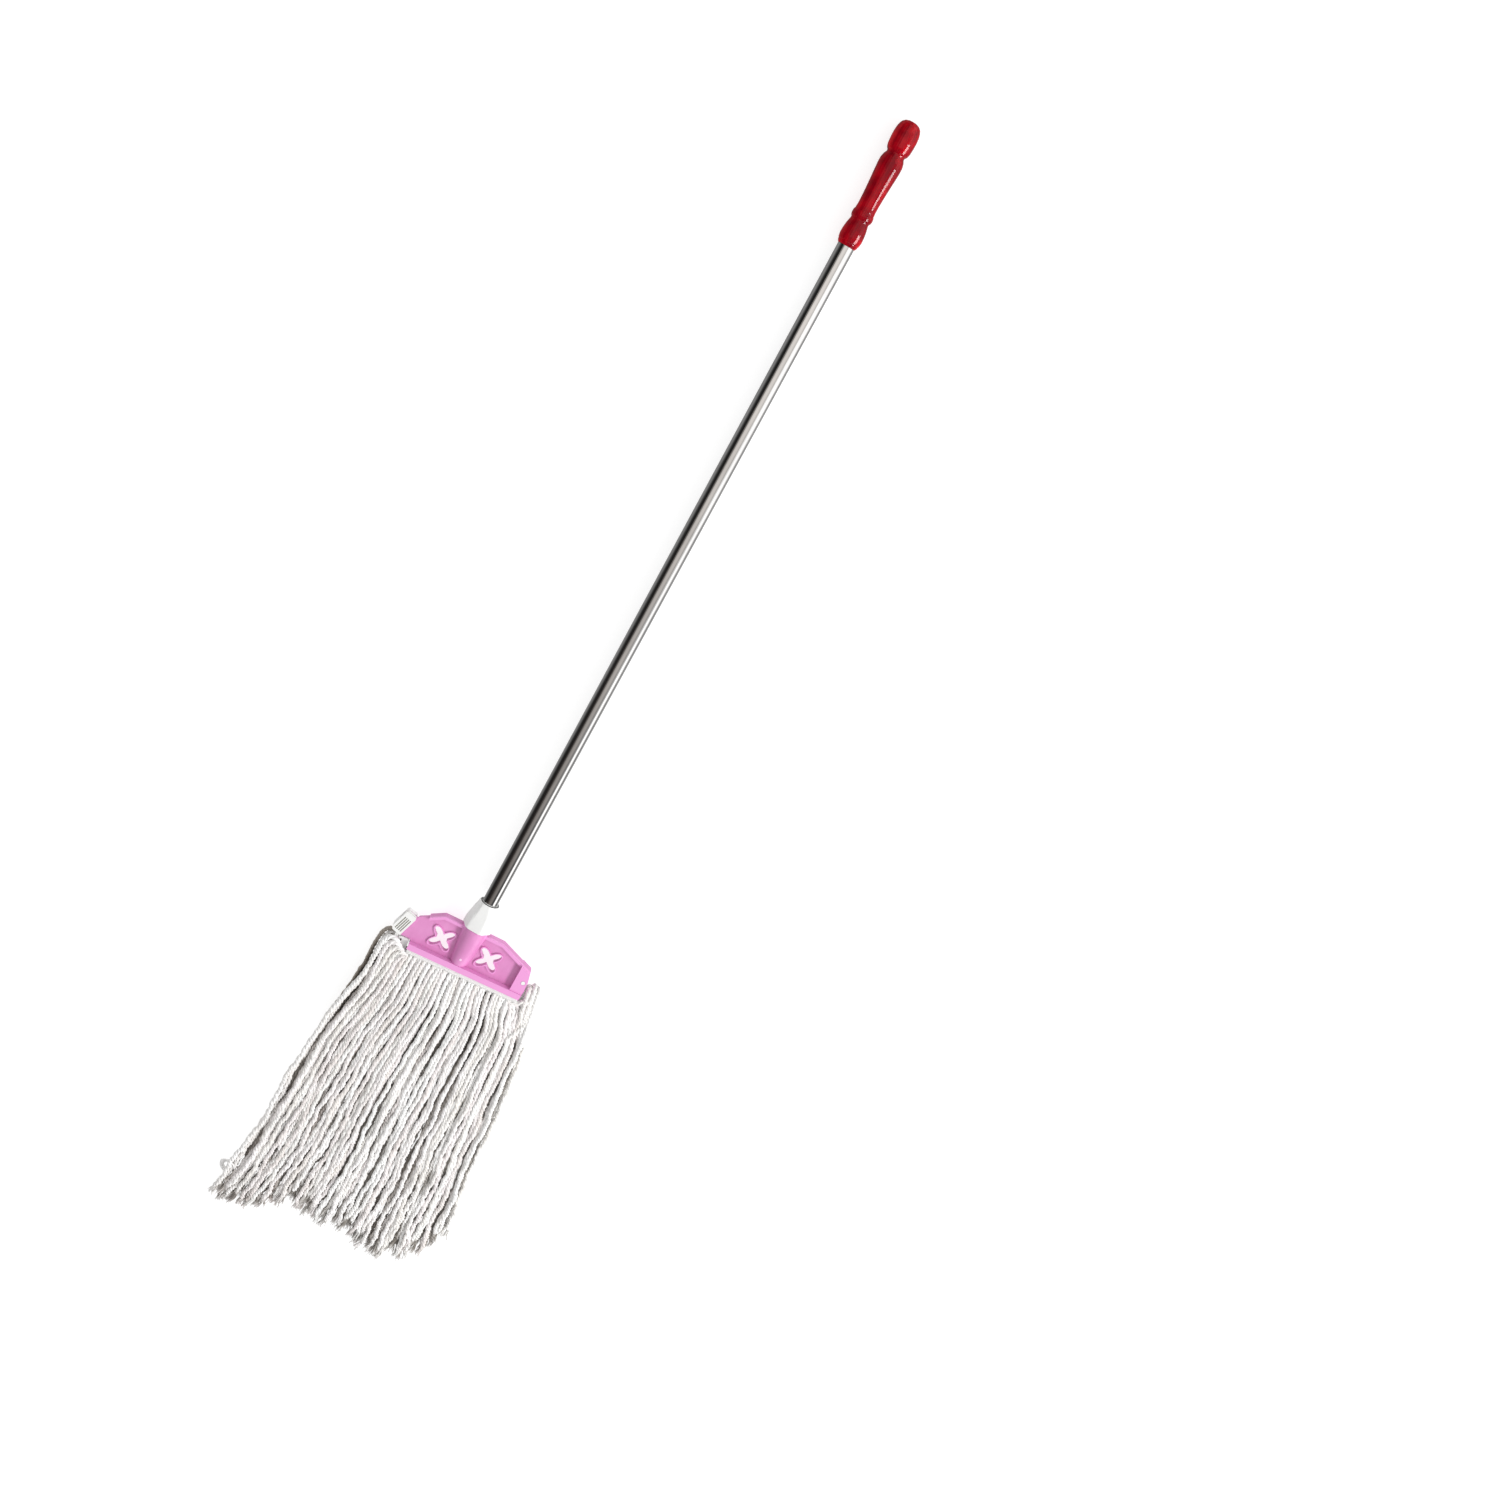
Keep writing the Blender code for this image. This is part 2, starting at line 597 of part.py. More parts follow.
def main():
    clear_scene()
    steel = material("polished_steel", (0.62, 0.61, 0.60), 0.14, 1.0)
    lacquer = material("red_lacquer", (0.42, 0.015, 0.03), 0.16)
    white = material("white_plastic", (0.86, 0.86, 0.84), 0.35)
    grey = material("grey_plastic", (0.55, 0.55, 0.54), 0.40)
    rubber = material("black_rubber", (0.02, 0.02, 0.02), 0.55)
    pink = material("pink_plastic", (0.74, 0.26, 0.60), 0.38)
    canvas = material("white_canvas", (0.84, 0.83, 0.82), 0.85)
    cotton = material("cotton_yarn", (0.72, 0.69, 0.65), 0.95)

    head = empty("head", (0.0, JAW_Y, AXIS_Z))
    handle = empty("handle", (0.0, NUT_BASE_Y, AXIS_Z), tilt=-HANDLE_TILT)

    build_tube(handle, steel)
    build_plug(handle, rubber)
    build_grip(handle, lacquer)
    build_nut(handle, white)
    build_nut_ring(handle, rubber)
    build_collet(handle, grey)
    build_head_frame(head, handle, pink)
    build_pins(head, white, steel)
    build_gate_arm(head, white)
    build_latch(head, white)
    build_tape(head, canvas)
    build_yarn_core(head, cotton)
    build_yarn(head, cotton)
    build_yarn_shoulders(head, cotton)


main()
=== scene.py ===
"""String mop on a pale floor: steel handle, red turned grip, pink clamp head and cotton yarn.

Row frame, metres: +Y to the grip, the yarn to -Y, +X the clamp's hinge side, +Z the front.
"""
import json
import math

import bmesh
import bpy
import numpy as np
from mathutils import Matrix, Vector


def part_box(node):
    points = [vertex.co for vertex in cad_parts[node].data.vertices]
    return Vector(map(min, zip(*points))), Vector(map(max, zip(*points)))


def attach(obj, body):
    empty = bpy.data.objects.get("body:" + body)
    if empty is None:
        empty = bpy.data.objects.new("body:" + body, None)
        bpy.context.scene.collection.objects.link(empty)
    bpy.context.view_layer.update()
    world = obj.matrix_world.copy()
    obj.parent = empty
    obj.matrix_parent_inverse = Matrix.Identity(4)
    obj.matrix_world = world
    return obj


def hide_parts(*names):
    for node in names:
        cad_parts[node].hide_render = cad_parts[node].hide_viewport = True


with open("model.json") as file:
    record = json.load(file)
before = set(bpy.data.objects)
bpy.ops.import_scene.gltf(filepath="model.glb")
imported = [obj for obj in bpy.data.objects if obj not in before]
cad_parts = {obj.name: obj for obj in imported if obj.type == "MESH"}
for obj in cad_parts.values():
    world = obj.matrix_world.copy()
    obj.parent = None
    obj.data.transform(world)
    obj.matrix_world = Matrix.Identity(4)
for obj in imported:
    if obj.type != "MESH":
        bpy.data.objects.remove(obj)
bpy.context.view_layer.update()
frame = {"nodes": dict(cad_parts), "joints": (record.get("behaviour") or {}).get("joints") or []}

MM = 0.001

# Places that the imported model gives: the jaw is the clamp head's lower edge, the axis the gate pin's height
JOINTS = {joint["name"]: joint for joint in frame["joints"]}
JAW_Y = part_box("head_frame")[0].y
AXIS_Z = JOINTS["gate_swing"]["pos_m"][2]
TAPE_LOW, TAPE_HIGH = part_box("header_tape")

# Camera, fitted to the photo
CAMERA_PLACE = Vector((-0.1757, 0.6252, 1.9474))
CAMERA_AIM = Vector((0.2041, 0.0949, AXIS_Z))
CAMERA_ROLL = math.radians(30.05)
CAMERA_LENS_MM = 36.0
SENSOR_MM = 36.0

# Tape: how far its hem hangs below the CAD tape, and the columns of its mesh along its length
TAPE_HEM = 1.8 * MM
TAPE_COLUMNS = 96

# One yarn: its radius loose and in the clamp, the step between its rings, its twist and its frayed tip
YARN_RADIUS = 3.7 * MM
PINCHED_RADIUS = 3.0 * MM
YARN_STEP = 2.2 * MM
PLY_PITCH = 19 * MM
PLY_PROFILE = (1.0, 0.94, 0.77, 0.77, 0.94)
PLIES = 3
FRAY = 23 * MM
TIP_FIBRES = 10
YARN_SEED = 11

# Four layers of loose ends, two behind and two in front of the gate bar: how many ends, their height from
# the axis inside the clamp and just below it, their height from the floor further down, and the length over
# which the back and the front layers come down to that
LAYER_COUNTS = (33, 32, 33, 34)
LAYER_PINCHED = (-6.3 * MM, -5.4 * MM, 5.4 * MM, 6.3 * MM)
LAYER_NEAR = (-8.6 * MM, -4.6 * MM, 4.6 * MM, 8.6 * MM)
LAYER_FAR = (3.8 * MM, 7.5 * MM, 11.0 * MM, 14.4 * MM)
BACK_FALL = 0.070
FRONT_FALL = 0.170

# Ends of a layer that leave the clamp sideways, and the CAD locks that the others are grouped by
LEFT_SIDE = 6
RIGHT_SIDE = 5
LOCKS = 6

# The two middle layers turn aside less, and stay this near the axis
DEEP_SHARE = 0.36
DEEP_DEPTH = 0.0056

# Distances below the jaw where a route's first keys end and its regular keys begin
SIDE_KEYS_END = 0.066
FOLD_KEYS_END = 0.018
KEY_SPACING = 0.012

# Left and right edge of the spread yarn, as (distance below the jaw, left, right)
YARN_EDGES = (
    (0.013, -0.118, 0.129), (0.075, -0.120, 0.145), (0.150, -0.130, 0.153), (0.200, -0.134, 0.158),
    (0.300, -0.140, 0.166), (0.350, -0.141, 0.171), (0.440, -0.152, 0.180), (0.500, -0.161, 0.183),
    (0.530, -0.166, 0.184),
)
# The front layers start this much further in at the left
FRONT_INSET = 0.007
# Where the yarn is cut, as (x, distance below the jaw)
TIPS = (
    (-0.160, 0.521), (-0.120, 0.519), (-0.090, 0.511), (-0.064, 0.490), (-0.045, 0.474), (-0.020, 0.490),
    (0.010, 0.496), (0.045, 0.489), (0.090, 0.507), (0.130, 0.498), (0.150, 0.477), (0.180, 0.443),
)

# Routes of the ends that leave the clamp sideways: x, height above the jaw, depth before the axis
LEFT_OUTER = (
    (-0.0670, -0.0110, 0.0056), (-0.0755, -0.0075, 0.0068), (-0.0835, -0.0010, 0.0082),
    (-0.0905, 0.0045, 0.0086), (-0.0975, 0.0060, 0.0084), (-0.1030, 0.0022, 0.0080),
    (-0.1062, -0.0060, 0.0076), (-0.1072, -0.0180, 0.0074), (-0.1076, -0.0320, 0.0074),
)
LEFT_OUTER_BACK = (
    (-0.0670, -0.0110, 0.0056), (-0.0765, -0.0070, 0.0068), (-0.0860, 0.0005, 0.0082),
    (-0.0945, 0.0066, 0.0086), (-0.1022, 0.0088, 0.0086), (-0.1084, 0.0060, 0.0084),
    (-0.1122, -0.0014, 0.0082), (-0.1140, -0.0132, 0.0080), (-0.1146, -0.0280, 0.0078),
)
LEFT_INNER = (
    (-0.0670, -0.0110, 0.0056), (-0.0680, -0.0140, 0.0066), (-0.0688, -0.0175, 0.0076),
    (-0.0694, -0.0215, 0.0082), (-0.0698, -0.0255, 0.0084), (-0.0701, -0.0300, 0.0084),
    (-0.0703, -0.0345, 0.0084), (-0.0704, -0.0390, 0.0084), (-0.0705, -0.0440, 0.0084),
)
RIGHT_OUTER = (
    (0.0880, -0.0105, 0.0056), (0.0965, -0.0085, 0.0068), (0.1035, -0.0045, 0.0084),
    (0.1095, 0.0000, 0.0088), (0.1150, 0.0010, 0.0088), (0.1190, -0.0030, 0.0086),
    (0.1215, -0.0110, 0.0084), (0.1235, -0.0220, 0.0084), (0.1255, -0.0350, 0.0082),
)
RIGHT_INNER = (
    (0.0880, -0.0110, 0.0056), (0.0915, -0.0135, 0.0066), (0.0942, -0.0165, 0.0076),
    (0.0962, -0.0200, 0.0082), (0.0978, -0.0240, 0.0084), (0.0990, -0.0285, 0.0084),
    (0.1000, -0.0335, 0.0084), (0.1008, -0.0385, 0.0084), (0.1015, -0.0440, 0.0084),
)
RIGHT_WRAP = (
    (0.0880, -0.0100, -0.0056), (0.0985, -0.0085, -0.0095), (0.1080, 0.0000, -0.0120),
    (0.1145, 0.0110, -0.0122), (0.1182, 0.0185, -0.0095), (0.1202, 0.0215, -0.0030),
    (0.1214, 0.0185, 0.0035), (0.1230, 0.0095, 0.0068), (0.1252, -0.0030, 0.0078),
    (0.1277, -0.0180, 0.0080),
)
RIGHT_WRAP_LOW = (
    (0.0870, -0.0110, -0.0056), (0.0975, -0.0095, -0.0090), (0.1060, -0.0010, -0.0112),
    (0.1103, 0.0110, -0.0115), (0.1122, 0.0205, -0.0085), (0.1132, 0.0242, -0.0020),
    (0.1142, 0.0210, 0.0045), (0.1156, 0.0110, 0.0078), (0.1180, -0.0040, 0.0088),
    (0.1208, -0.0220, 0.0088),
)
RIGHT_WRAP_INNER = (
    (0.0870, -0.0110, -0.0056), (0.0965, -0.0100, -0.0088), (0.1035, -0.0035, -0.0100),
    (0.1062, 0.0070, -0.0100), (0.1066, 0.0160, -0.0065), (0.1070, 0.0200, 0.0000),
    (0.1078, 0.0165, 0.0055), (0.1092, 0.0070, 0.0085), (0.1116, -0.0060, 0.0092),
    (0.1150, -0.0230, 0.0090),
)
# The end that curls round at the lower left: middle of the loop as (x, distance below the jaw), its radius,
# its height over the floor, and how much higher it lies where it crosses itself
CURL_CENTRE = (-0.1545, 0.457)
CURL_RADIUS = 9.5 * MM
CURL_HEIGHT = 6.5 * MM
CURL_LIFT = 8.0 * MM

# Boss mark: middle, outer radius of the boss under it, slope of the boss, and its turned section in mm
MARK_PLACE = Vector((0.3 * MM, JAW_Y + 20.5 * MM, AXIS_Z + 14.45 * MM))
BOSS_RADIUS = 13.6 * MM
BOSS_SLOPE = 0.09
MARK_SECTION = ((0.55, 0.26), (0.95, 0.12), (1.25, 0.30), (1.55, 0.36), (1.85, 0.20), (2.0, -0.2))
MARK_SIDES = 28

# Moulded edges of the hard pieces
BEVEL_SEGMENTS = 2
BEVEL_ANGLE = 28.0

# Plastics, each as two shades that the flow marks mix
WHITE = (0.80, 0.80, 0.79), (0.87, 0.87, 0.86)
RIBBED_WHITE = (0.80, 0.80, 0.785), (0.87, 0.87, 0.86)
GREY = (0.66, 0.66, 0.655), (0.74, 0.74, 0.73)
PINK = (0.655, 0.235, 0.50), (0.74, 0.30, 0.585)
PALE_PINK = (0.86, 0.56, 0.77), (0.90, 0.62, 0.81)

# The room that only shiny surfaces see, as (share of a turn round the tube, grey or colour): what the
# tube's upper part mirrors, and what its lower end mirrors
ROOM_UPPER = (
    (0.0, 0.15), (0.10, 0.30), (0.214, 0.34), (0.261, 0.10), (0.303, 0.02), (0.361, 0.01), (0.385, 0.05),
    (0.417, (0.36, 0.34, 0.32)), (0.444, (0.95, 0.91, 0.87)), (0.478, (1.16, 1.11, 1.06)),
    (0.575, (1.0, 0.96, 0.92)), (0.588, 0.20), (0.606, 0.20), (0.618, 1.65), (0.640, 1.7), (0.735, 1.65),
    (0.755, 1.2), (0.79, 0.55), (0.833, 0.36), (0.917, 0.5), (1.0, 0.12),
)
ROOM_LOWER = (
    (0.0, 0.15), (0.10, 0.4), (0.214, 0.14), (0.261, 0.012), (0.40, (0.034, 0.028, 0.026)),
    (0.444, (0.13, 0.115, 0.105)), (0.478, (0.21, 0.19, 0.18)), (0.536, (0.24, 0.22, 0.21)), (0.567, 0.12),
    (0.60, 0.01), (0.645, 0.02), (0.660, 1.7), (0.725, 1.7), (0.742, 0.5), (0.765, 0.02), (0.80, 0.05),
    (0.84, 0.6), (0.92, 0.8), (1.0, 0.15),
)
# Where one passes into the other, as the reflected ray's Y
ROOM_PASSING = (-0.42, 0.0)
# Light on matt surfaces from the left and from the right
MATT_SIDES = ((0.0, 0.57), (1.0, 0.87))
MATT_REACH = 0.8

# Key light, the strip that shines in the grip and its place from the grip's middle, and the floor
KEY_LIGHT = {"place": (1.85, 0.0, 1.6), "width": 2.8, "height": 0.50, "power": 50.0}
STRIP_LIGHT = {"width": 0.62, "height": 0.50, "power": 24.0}
STRIP_OFFSET = Vector((0.95, -0.14, 0.56))
FLOOR_REACH = 6.0
FLOOR_GLOW = 0.74


# ---------------------------------------------------------------- helpers

def ease(value):
    """Smooth step from 0 to 1."""
    value = np.clip(value, 0.0, 1.0)
    return value * value * (3.0 - 2.0 * value)


def wavy(at, low, high, rng, start=6.0):
    """Sine along a route, of a random length between low and high."""
    length = rng.uniform(low, high)
    return np.sin(2 * math.pi * at / length + rng.uniform(0, start))


def length_along(line):
    """Distance of each point from the line's start."""
    return np.concatenate([[0.0], np.cumsum(np.linalg.norm(np.diff(line, axis=0), axis=1))])


def link(name, data):
    """A new object in the scene."""
    made = bpy.data.objects.new(name, data)
    bpy.context.scene.collection.objects.link(made)
    return made


def piece(name, mesh, finish, body):
    """Link a mesh as a piece of the mop that rides on body."""
    mesh.materials.clear()
    mesh.materials.append(finish)
    made = link(name, mesh)
    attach(made, body)
    return made


def make_mesh(name, verts, faces, tint=None):
    """A smooth mesh, with a tint for each point if the finish reads one."""
    mesh = bpy.data.meshes.new(name)
    mesh.from_pydata(verts.tolist(), [], faces)
    mesh.shade_smooth()
    if tint is not None:
        colour = mesh.color_attributes.new("tint", "FLOAT_COLOR", "POINT")
        rgba = np.ones((len(verts), 4), np.float32)
        rgba[:, :3] = tint
        colour.data.foreach_set("color", rgba.ravel())
    return mesh


def smooth_line(keys, step):
    """Catmull-Rom curve through the keys. Returns points step apart and their distance from the start."""
    keys = np.array(keys, float)
    padded = np.vstack([2 * keys[0] - keys[1], keys, 2 * keys[-1] - keys[-2]])
    fine = []
    for i in range(len(keys) - 1):
        a, b, c, d = padded[i:i + 4]
        for t in np.linspace(0.0, 1.0, 12, endpoint=False):
            fine.append(0.5 * (2 * b + (c - a) * t + (2 * a - 5 * b + 4 * c - d) * t ** 2
                               + (3 * b - 3 * c + d - a) * t ** 3))
    fine = np.vstack([fine, keys[-1:]])
    along = length_along(fine)
    at = np.linspace(0.0, along[-1], max(2, round(along[-1] / step) + 1))
    return np.stack([np.interp(at, along, fine[:, k]) for k in range(3)], axis=1), at


def tube_verts(line, radii, profile, turns):
    """Rings of points round a line, turned by turns. Returns the points and faces of the closed tube."""
    tangent = np.gradient(line, axis=0)
    tangent /= np.linalg.norm(tangent, axis=1)[:, None]
    across = np.cross(tangent, (0.0, 0.0, 1.0))
    across /= np.linalg.norm(across, axis=1)[:, None]
    up = np.cross(across, tangent)
    count = len(profile)
    angle = turns[:, None] + 2 * math.pi * np.arange(count)[None, :] / count
    reach = radii[:, None] * np.array(profile)[None, :]
    verts = (line[:, None, :] + (reach * np.cos(angle))[:, :, None] * across[:, None, :]
             + (reach * np.sin(angle))[:, :, None] * up[:, None, :]).reshape(-1, 3)
    rings = len(line)
    i = np.arange(rings - 1)[:, None] * count
    j = np.arange(count)[None, :]
    k = (j + 1) % count
    quads = np.stack([i + j, i + k, i + count + k, i + count + j], axis=-1).reshape(-1, 4)
    verts = np.vstack([verts, line[0], line[-1]])
    first, last, low = rings * count, rings * count + 1, (rings - 1) * count
    caps = [[first, (n + 1) % count, n] for n in range(count)]
    caps += [[last, low + n, low + (n + 1) % count] for n in range(count)]
    return verts, quads.tolist() + caps


def join_parts(parts):
    """One list of points, faces and tints from several."""
    verts, faces, tints, start = [], [], [], 0
    for part_verts, part_faces, part_tint in parts:
        verts.append(part_verts)
        faces += [[start + v for v in face] for face in part_faces]
        tints.append(part_tint)
        start += len(part_verts)
    return np.vstack(verts), faces, np.vstack(tints)


# ---------------------------------------------------------------- camera

def make_camera():
    """The camera that was fitted to the photo: level over the floor, then rolled."""
    camera = link("camera", bpy.data.cameras.new("camera"))
    back = (CAMERA_PLACE - CAMERA_AIM).normalized()
    level = (Vector((0.0, 1.0, 0.0)) - back * back.y).normalized()
    side = level.cross(back)
    up = level * math.cos(CAMERA_ROLL) - side * math.sin(CAMERA_ROLL)
    right = up.cross(back)
    camera.matrix_world = Matrix.Translation(CAMERA_PLACE) @ Matrix((right, up, back)).transposed().to_4x4()
    camera.data.lens = CAMERA_LENS_MM
    camera.data.sensor_width = SENSOR_MM
    camera.data.clip_end = 20.0
    bpy.context.scene.camera = camera


# ---------------------------------------------------------------- yarn routes

def edges_at(drop):
    """Left and right edge of the spread yarn at a distance below the jaw, with rounded corners."""
    drops, left, right = zip(*YARN_EDGES)
    spread = [drop + shift for shift in (-0.02, -0.01, 0.0, 0.01, 0.02)]
    left = sum(np.interp(d, drops, left) for d in spread) / len(spread)
    right = sum(np.interp(d, drops, right) for d in spread) / len(spread)
    return left, right


def level_at(drop, layer):
    """Height of a layer's middle at a distance below the jaw."""
    opened = ease((drop - 0.008) / 0.026)
    near = AXIS_Z + LAYER_PINCHED[layer] + (LAYER_NEAR[layer] - LAYER_PINCHED[layer]) * opened
    fall = ease((drop - 0.013) / (FRONT_FALL if layer > 1 else BACK_FALL))
    return near * (1.0 - fall) + LAYER_FAR[layer] * fall


def place_across(drop, share, layer):
    """Where an end with this share of the width lies at a distance below the jaw."""
    left, right = edges_at(drop)
    if layer > 1:
        left = left + FRONT_INSET * (1.0 - ease((drop - 0.05) / 0.16))
    return left + YARN_RADIUS + (right - left - 2 * YARN_RADIUS) * share


def side_keys(layer, index):
    """Keys of an end that leaves the clamp sideways, or none."""
    from_right = LAYER_COUNTS[layer] - 1 - index
    wraps = {3: (RIGHT_WRAP, RIGHT_WRAP_LOW, RIGHT_WRAP_INNER), 2: (RIGHT_WRAP_INNER,)}.get(layer, ())
    if from_right < len(wraps):
        return [(x, JAW_Y + y, AXIS_Z + z) for x, y, z in wraps[from_right]]
    if index < LEFT_SIDE:
        outer, inner = LEFT_OUTER if layer > 1 else LEFT_OUTER_BACK, LEFT_INNER
        share = index / (LEFT_SIDE - 1)
    elif from_right < RIGHT_SIDE:
        outer, inner = RIGHT_OUTER, RIGHT_INNER
        share = (from_right - len(wraps)) / (RIGHT_SIDE - 1 - len(wraps))
    else:
        return None
    deep = layer in (1, 2)
    share = DEEP_SHARE + (1.0 - DEEP_SHARE) * share if deep else share
    keys = []
    for a, b in zip(outer, inner):
        x, y, z = (p + (q - p) * share for p, q in zip(a, b))
        depth = min(z, DEEP_DEPTH) if deep else z
        keys.append((x, JAW_Y + y, AXIS_Z + (depth if layer > 1 else -depth)))
    return keys


def fold_keys(layer, tape_x):
    """The start of an end, over the gate bar inside the tape."""
    side = 1.0 if layer > 1 else -1.0
    pinched = abs(LAYER_PINCHED[layer])
    return [
        (tape_x, JAW_Y - 1.6 * MM, AXIS_Z + side * 1.0 * MM),
        (tape_x, JAW_Y - 2.4 * MM, AXIS_Z + side * (pinched - 2.4 * MM)),
        (tape_x, JAW_Y - 5.0 * MM, AXIS_Z + side * (pinched - 0.3 * MM)),
        (tape_x, JAW_Y - 9.0 * MM, AXIS_Z + side * pinched),
    ]


def tape_place(index, count):
    """Where along the tape an end comes out."""
    left, right = TAPE_LOW.x + 6.0 * MM, TAPE_HIGH.x - 9.0 * MM
    share = (index - LEFT_SIDE + 0.5) / (count - LEFT_SIDE - RIGHT_SIDE)
    return left + (right - left) * share


def yarn_route(layer, index, rng):
    """Centre points of one loose end, from the fold to its tip."""
    count = LAYER_COUNTS[layer]
    share = index / (count - 1)
    cut_x = place_across(0.45, share, layer)
    stop = np.interp(cut_x, *zip(*TIPS)) + rng.uniform(-0.015, 0.008) - 0.004 * (layer in (1, 2))
    slip = float(np.clip(rng.normal(0.0, 2.2), -5.5, 5.5)) * MM
    keys = side_keys(layer, index)
    tape_x = tape_place(index, count) + 0.65 * slip
    begin = SIDE_KEYS_END if keys else FOLD_KEYS_END
    keys = keys or fold_keys(layer, tape_x)
    for drop in np.append(np.arange(begin, stop - KEY_SPACING / 2, KEY_SPACING), stop):
        x = place_across(drop, share, layer) + slip * ease((drop - 0.02) / 0.08)
        if begin == FOLD_KEYS_END:
            x = tape_x + (x - tape_x) * ease((drop - 0.004) / 0.062)
        keys.append((x, JAW_Y - drop, level_at(drop, layer)))
    line, along = smooth_line(keys, YARN_STEP)
    line[:, 2] += (0.3 * abs(slip) + rng.uniform(-1.3, 1.1) * MM) * ease((JAW_Y - line[:, 1] - 0.01) / 0.06)
    return add_waves(line, along, layer, rng)


def add_waves(line, along, layer, rng):
    """Slow wander and the short crimp of twisted yarn, little of it near the clamp."""
    drop = JAW_Y - line[:, 1]
    loose = ease((drop - 0.008) / 0.05) * (0.5 + 0.5 * ease((drop - 0.08) / 0.3))
    for size, low, high in ((2.0 * MM, 0.11, 0.23), (1.0 * MM, 0.045, 0.08), (0.75 * MM, 0.016, 0.030)):
        line[:, 0] += size * loose * wavy(along, low, high, rng, 2 * math.pi)
    rise = 1.1 * MM if layer else 0.3 * MM
    line[:, 2] += rise * loose * wavy(along, 0.08, 0.16, rng, 2 * math.pi)
    to_tip = ease(1.0 - (along[-1] - along) / 0.045)
    line[:, 0] += (rng.uniform(-4.5, 4.0) * MM - 3.4 * MM * np.sin(line[-1, 0] / 5.6 * 1000)) * to_tip ** 2
    line[:, 2] -= max(0.0, line[-1, 2] - rng.uniform(4.0, 12.0) * MM) * to_tip
    line[:, 2] = np.maximum(line[:, 2], np.where(drop > 0.06, YARN_RADIUS, 0.0))
    return line


def curl_route():
    """The left edge's end that curls round at the bottom and lies over itself."""
    keys = [(x, JAW_Y + y, AXIS_Z - z) for x, y, z in LEFT_OUTER]
    for drop in np.arange(SIDE_KEYS_END, 0.41, 2 * KEY_SPACING):
        keys.append((place_across(drop, 0.02, 2), JAW_Y - drop, level_at(drop, 1)))
    x, drop = CURL_CENTRE
    keys += [(x + CURL_RADIUS, JAW_Y - drop + above * MM, CURL_HEIGHT) for above in (32, 20, 12, 6)]
    for turn in np.radians(np.arange(0, 400, 24)):
        lift = CURL_LIFT * ease((turn - 2.9) / 2.6)
        keys.append((x + CURL_RADIUS * math.cos(turn), JAW_Y - drop - CURL_RADIUS * math.sin(turn),
                     CURL_HEIGHT + lift))
    return smooth_line(keys, YARN_STEP)[0]


# ---------------------------------------------------------------- yarn meshes

def yarn_tint(verts, tone, drop_stop):
    """Cotton colour of each point, with painted shade deep inside the bundle and painted brown shade on some
    back ends.
    """
    warm, pink, soil_and_shade = tone
    drop = JAW_Y - verts[:, 1]
    left, right = edges_at(drop)
    # Painted shade: the deeper a point lies in the bundle, the darker and a little warmer it is, less so near
    # the bundle's sides, the tips and the jaw.
    top = level_at(drop, 3) + YARN_RADIUS
    bottom = level_at(drop, 0) - YARN_RADIUS
    depth = np.minimum(top - verts[:, 2], verts[:, 2] - bottom) * ease(drop / 0.02)
    depth = np.minimum(depth, np.minimum(verts[:, 0] - left, right - verts[:, 0]) + 2.0 * MM)
    depth = np.minimum(depth, np.maximum(drop_stop - drop, 0.0) * 0.35 + 2.0 * MM)
    shade = 1.0 - 0.72 * ease((depth - 3.6 * MM) / (4.6 * MM))
    clean, beige = np.array((0.98, 0.975, 0.965)), np.array((0.82, 0.78, 0.72))
    rosy, shade_brown = np.array((0.90, 0.82, 0.83)), np.array((0.36, 0.31, 0.26))
    colour = clean + (beige - clean) * np.broadcast_to(warm, len(verts))[:, None] + (rosy - clean) * pink
    # Painted shade: the back layers' outer left ends turn brown near the clamp, fading out further down.
    colour += (shade_brown - colour) * (soil_and_shade * (1.0 - ease((drop - 0.10) / 0.14)))[:, None]
    return colour * shade[:, None] ** np.array((1.0, 1.06, 1.14))


def loose_fibres(line, along, start, tone, stop, rng):
    """Untwisted plies at a cut end, spreading a little from the yarn's line."""
    parts = []
    path = line[along >= along[-1] - start - 3 * MM]
    reach = np.linspace(0.0, 1.0, len(path))
    for i in range(TIP_FIBRES):
        angle = 2 * math.pi * i / TIP_FIBRES + rng.uniform(-0.4, 0.4)
        spread = rng.uniform(0.35, 1.0) * 6.6 * MM
        keep = max(4, round(len(path) * rng.uniform(0.58, 1.0)))
        away = 2.0 * MM + (spread - 2.0 * MM) * reach ** 1.5
        bend = angle + rng.uniform(-1.1, 1.1) * reach
        fibre = path.copy()
        fibre[:, 0] += away * np.cos(bend)
        fibre[:, 2] = np.maximum(fibre[:, 2] + 0.7 * away * np.sin(bend), 1.2 * MM)
        radii = np.interp(reach, (0.0, 0.6, 1.0), (1.15 * MM, 0.85 * MM, 0.3 * MM))
        verts, faces = tube_verts(fibre[:keep], radii[:keep], (1.0,) * 5, np.zeros(keep))
        shade = rng.uniform(0.72, 1.0)
        parts.append((verts, faces, yarn_tint(verts, tone, stop) * shade))
    return parts


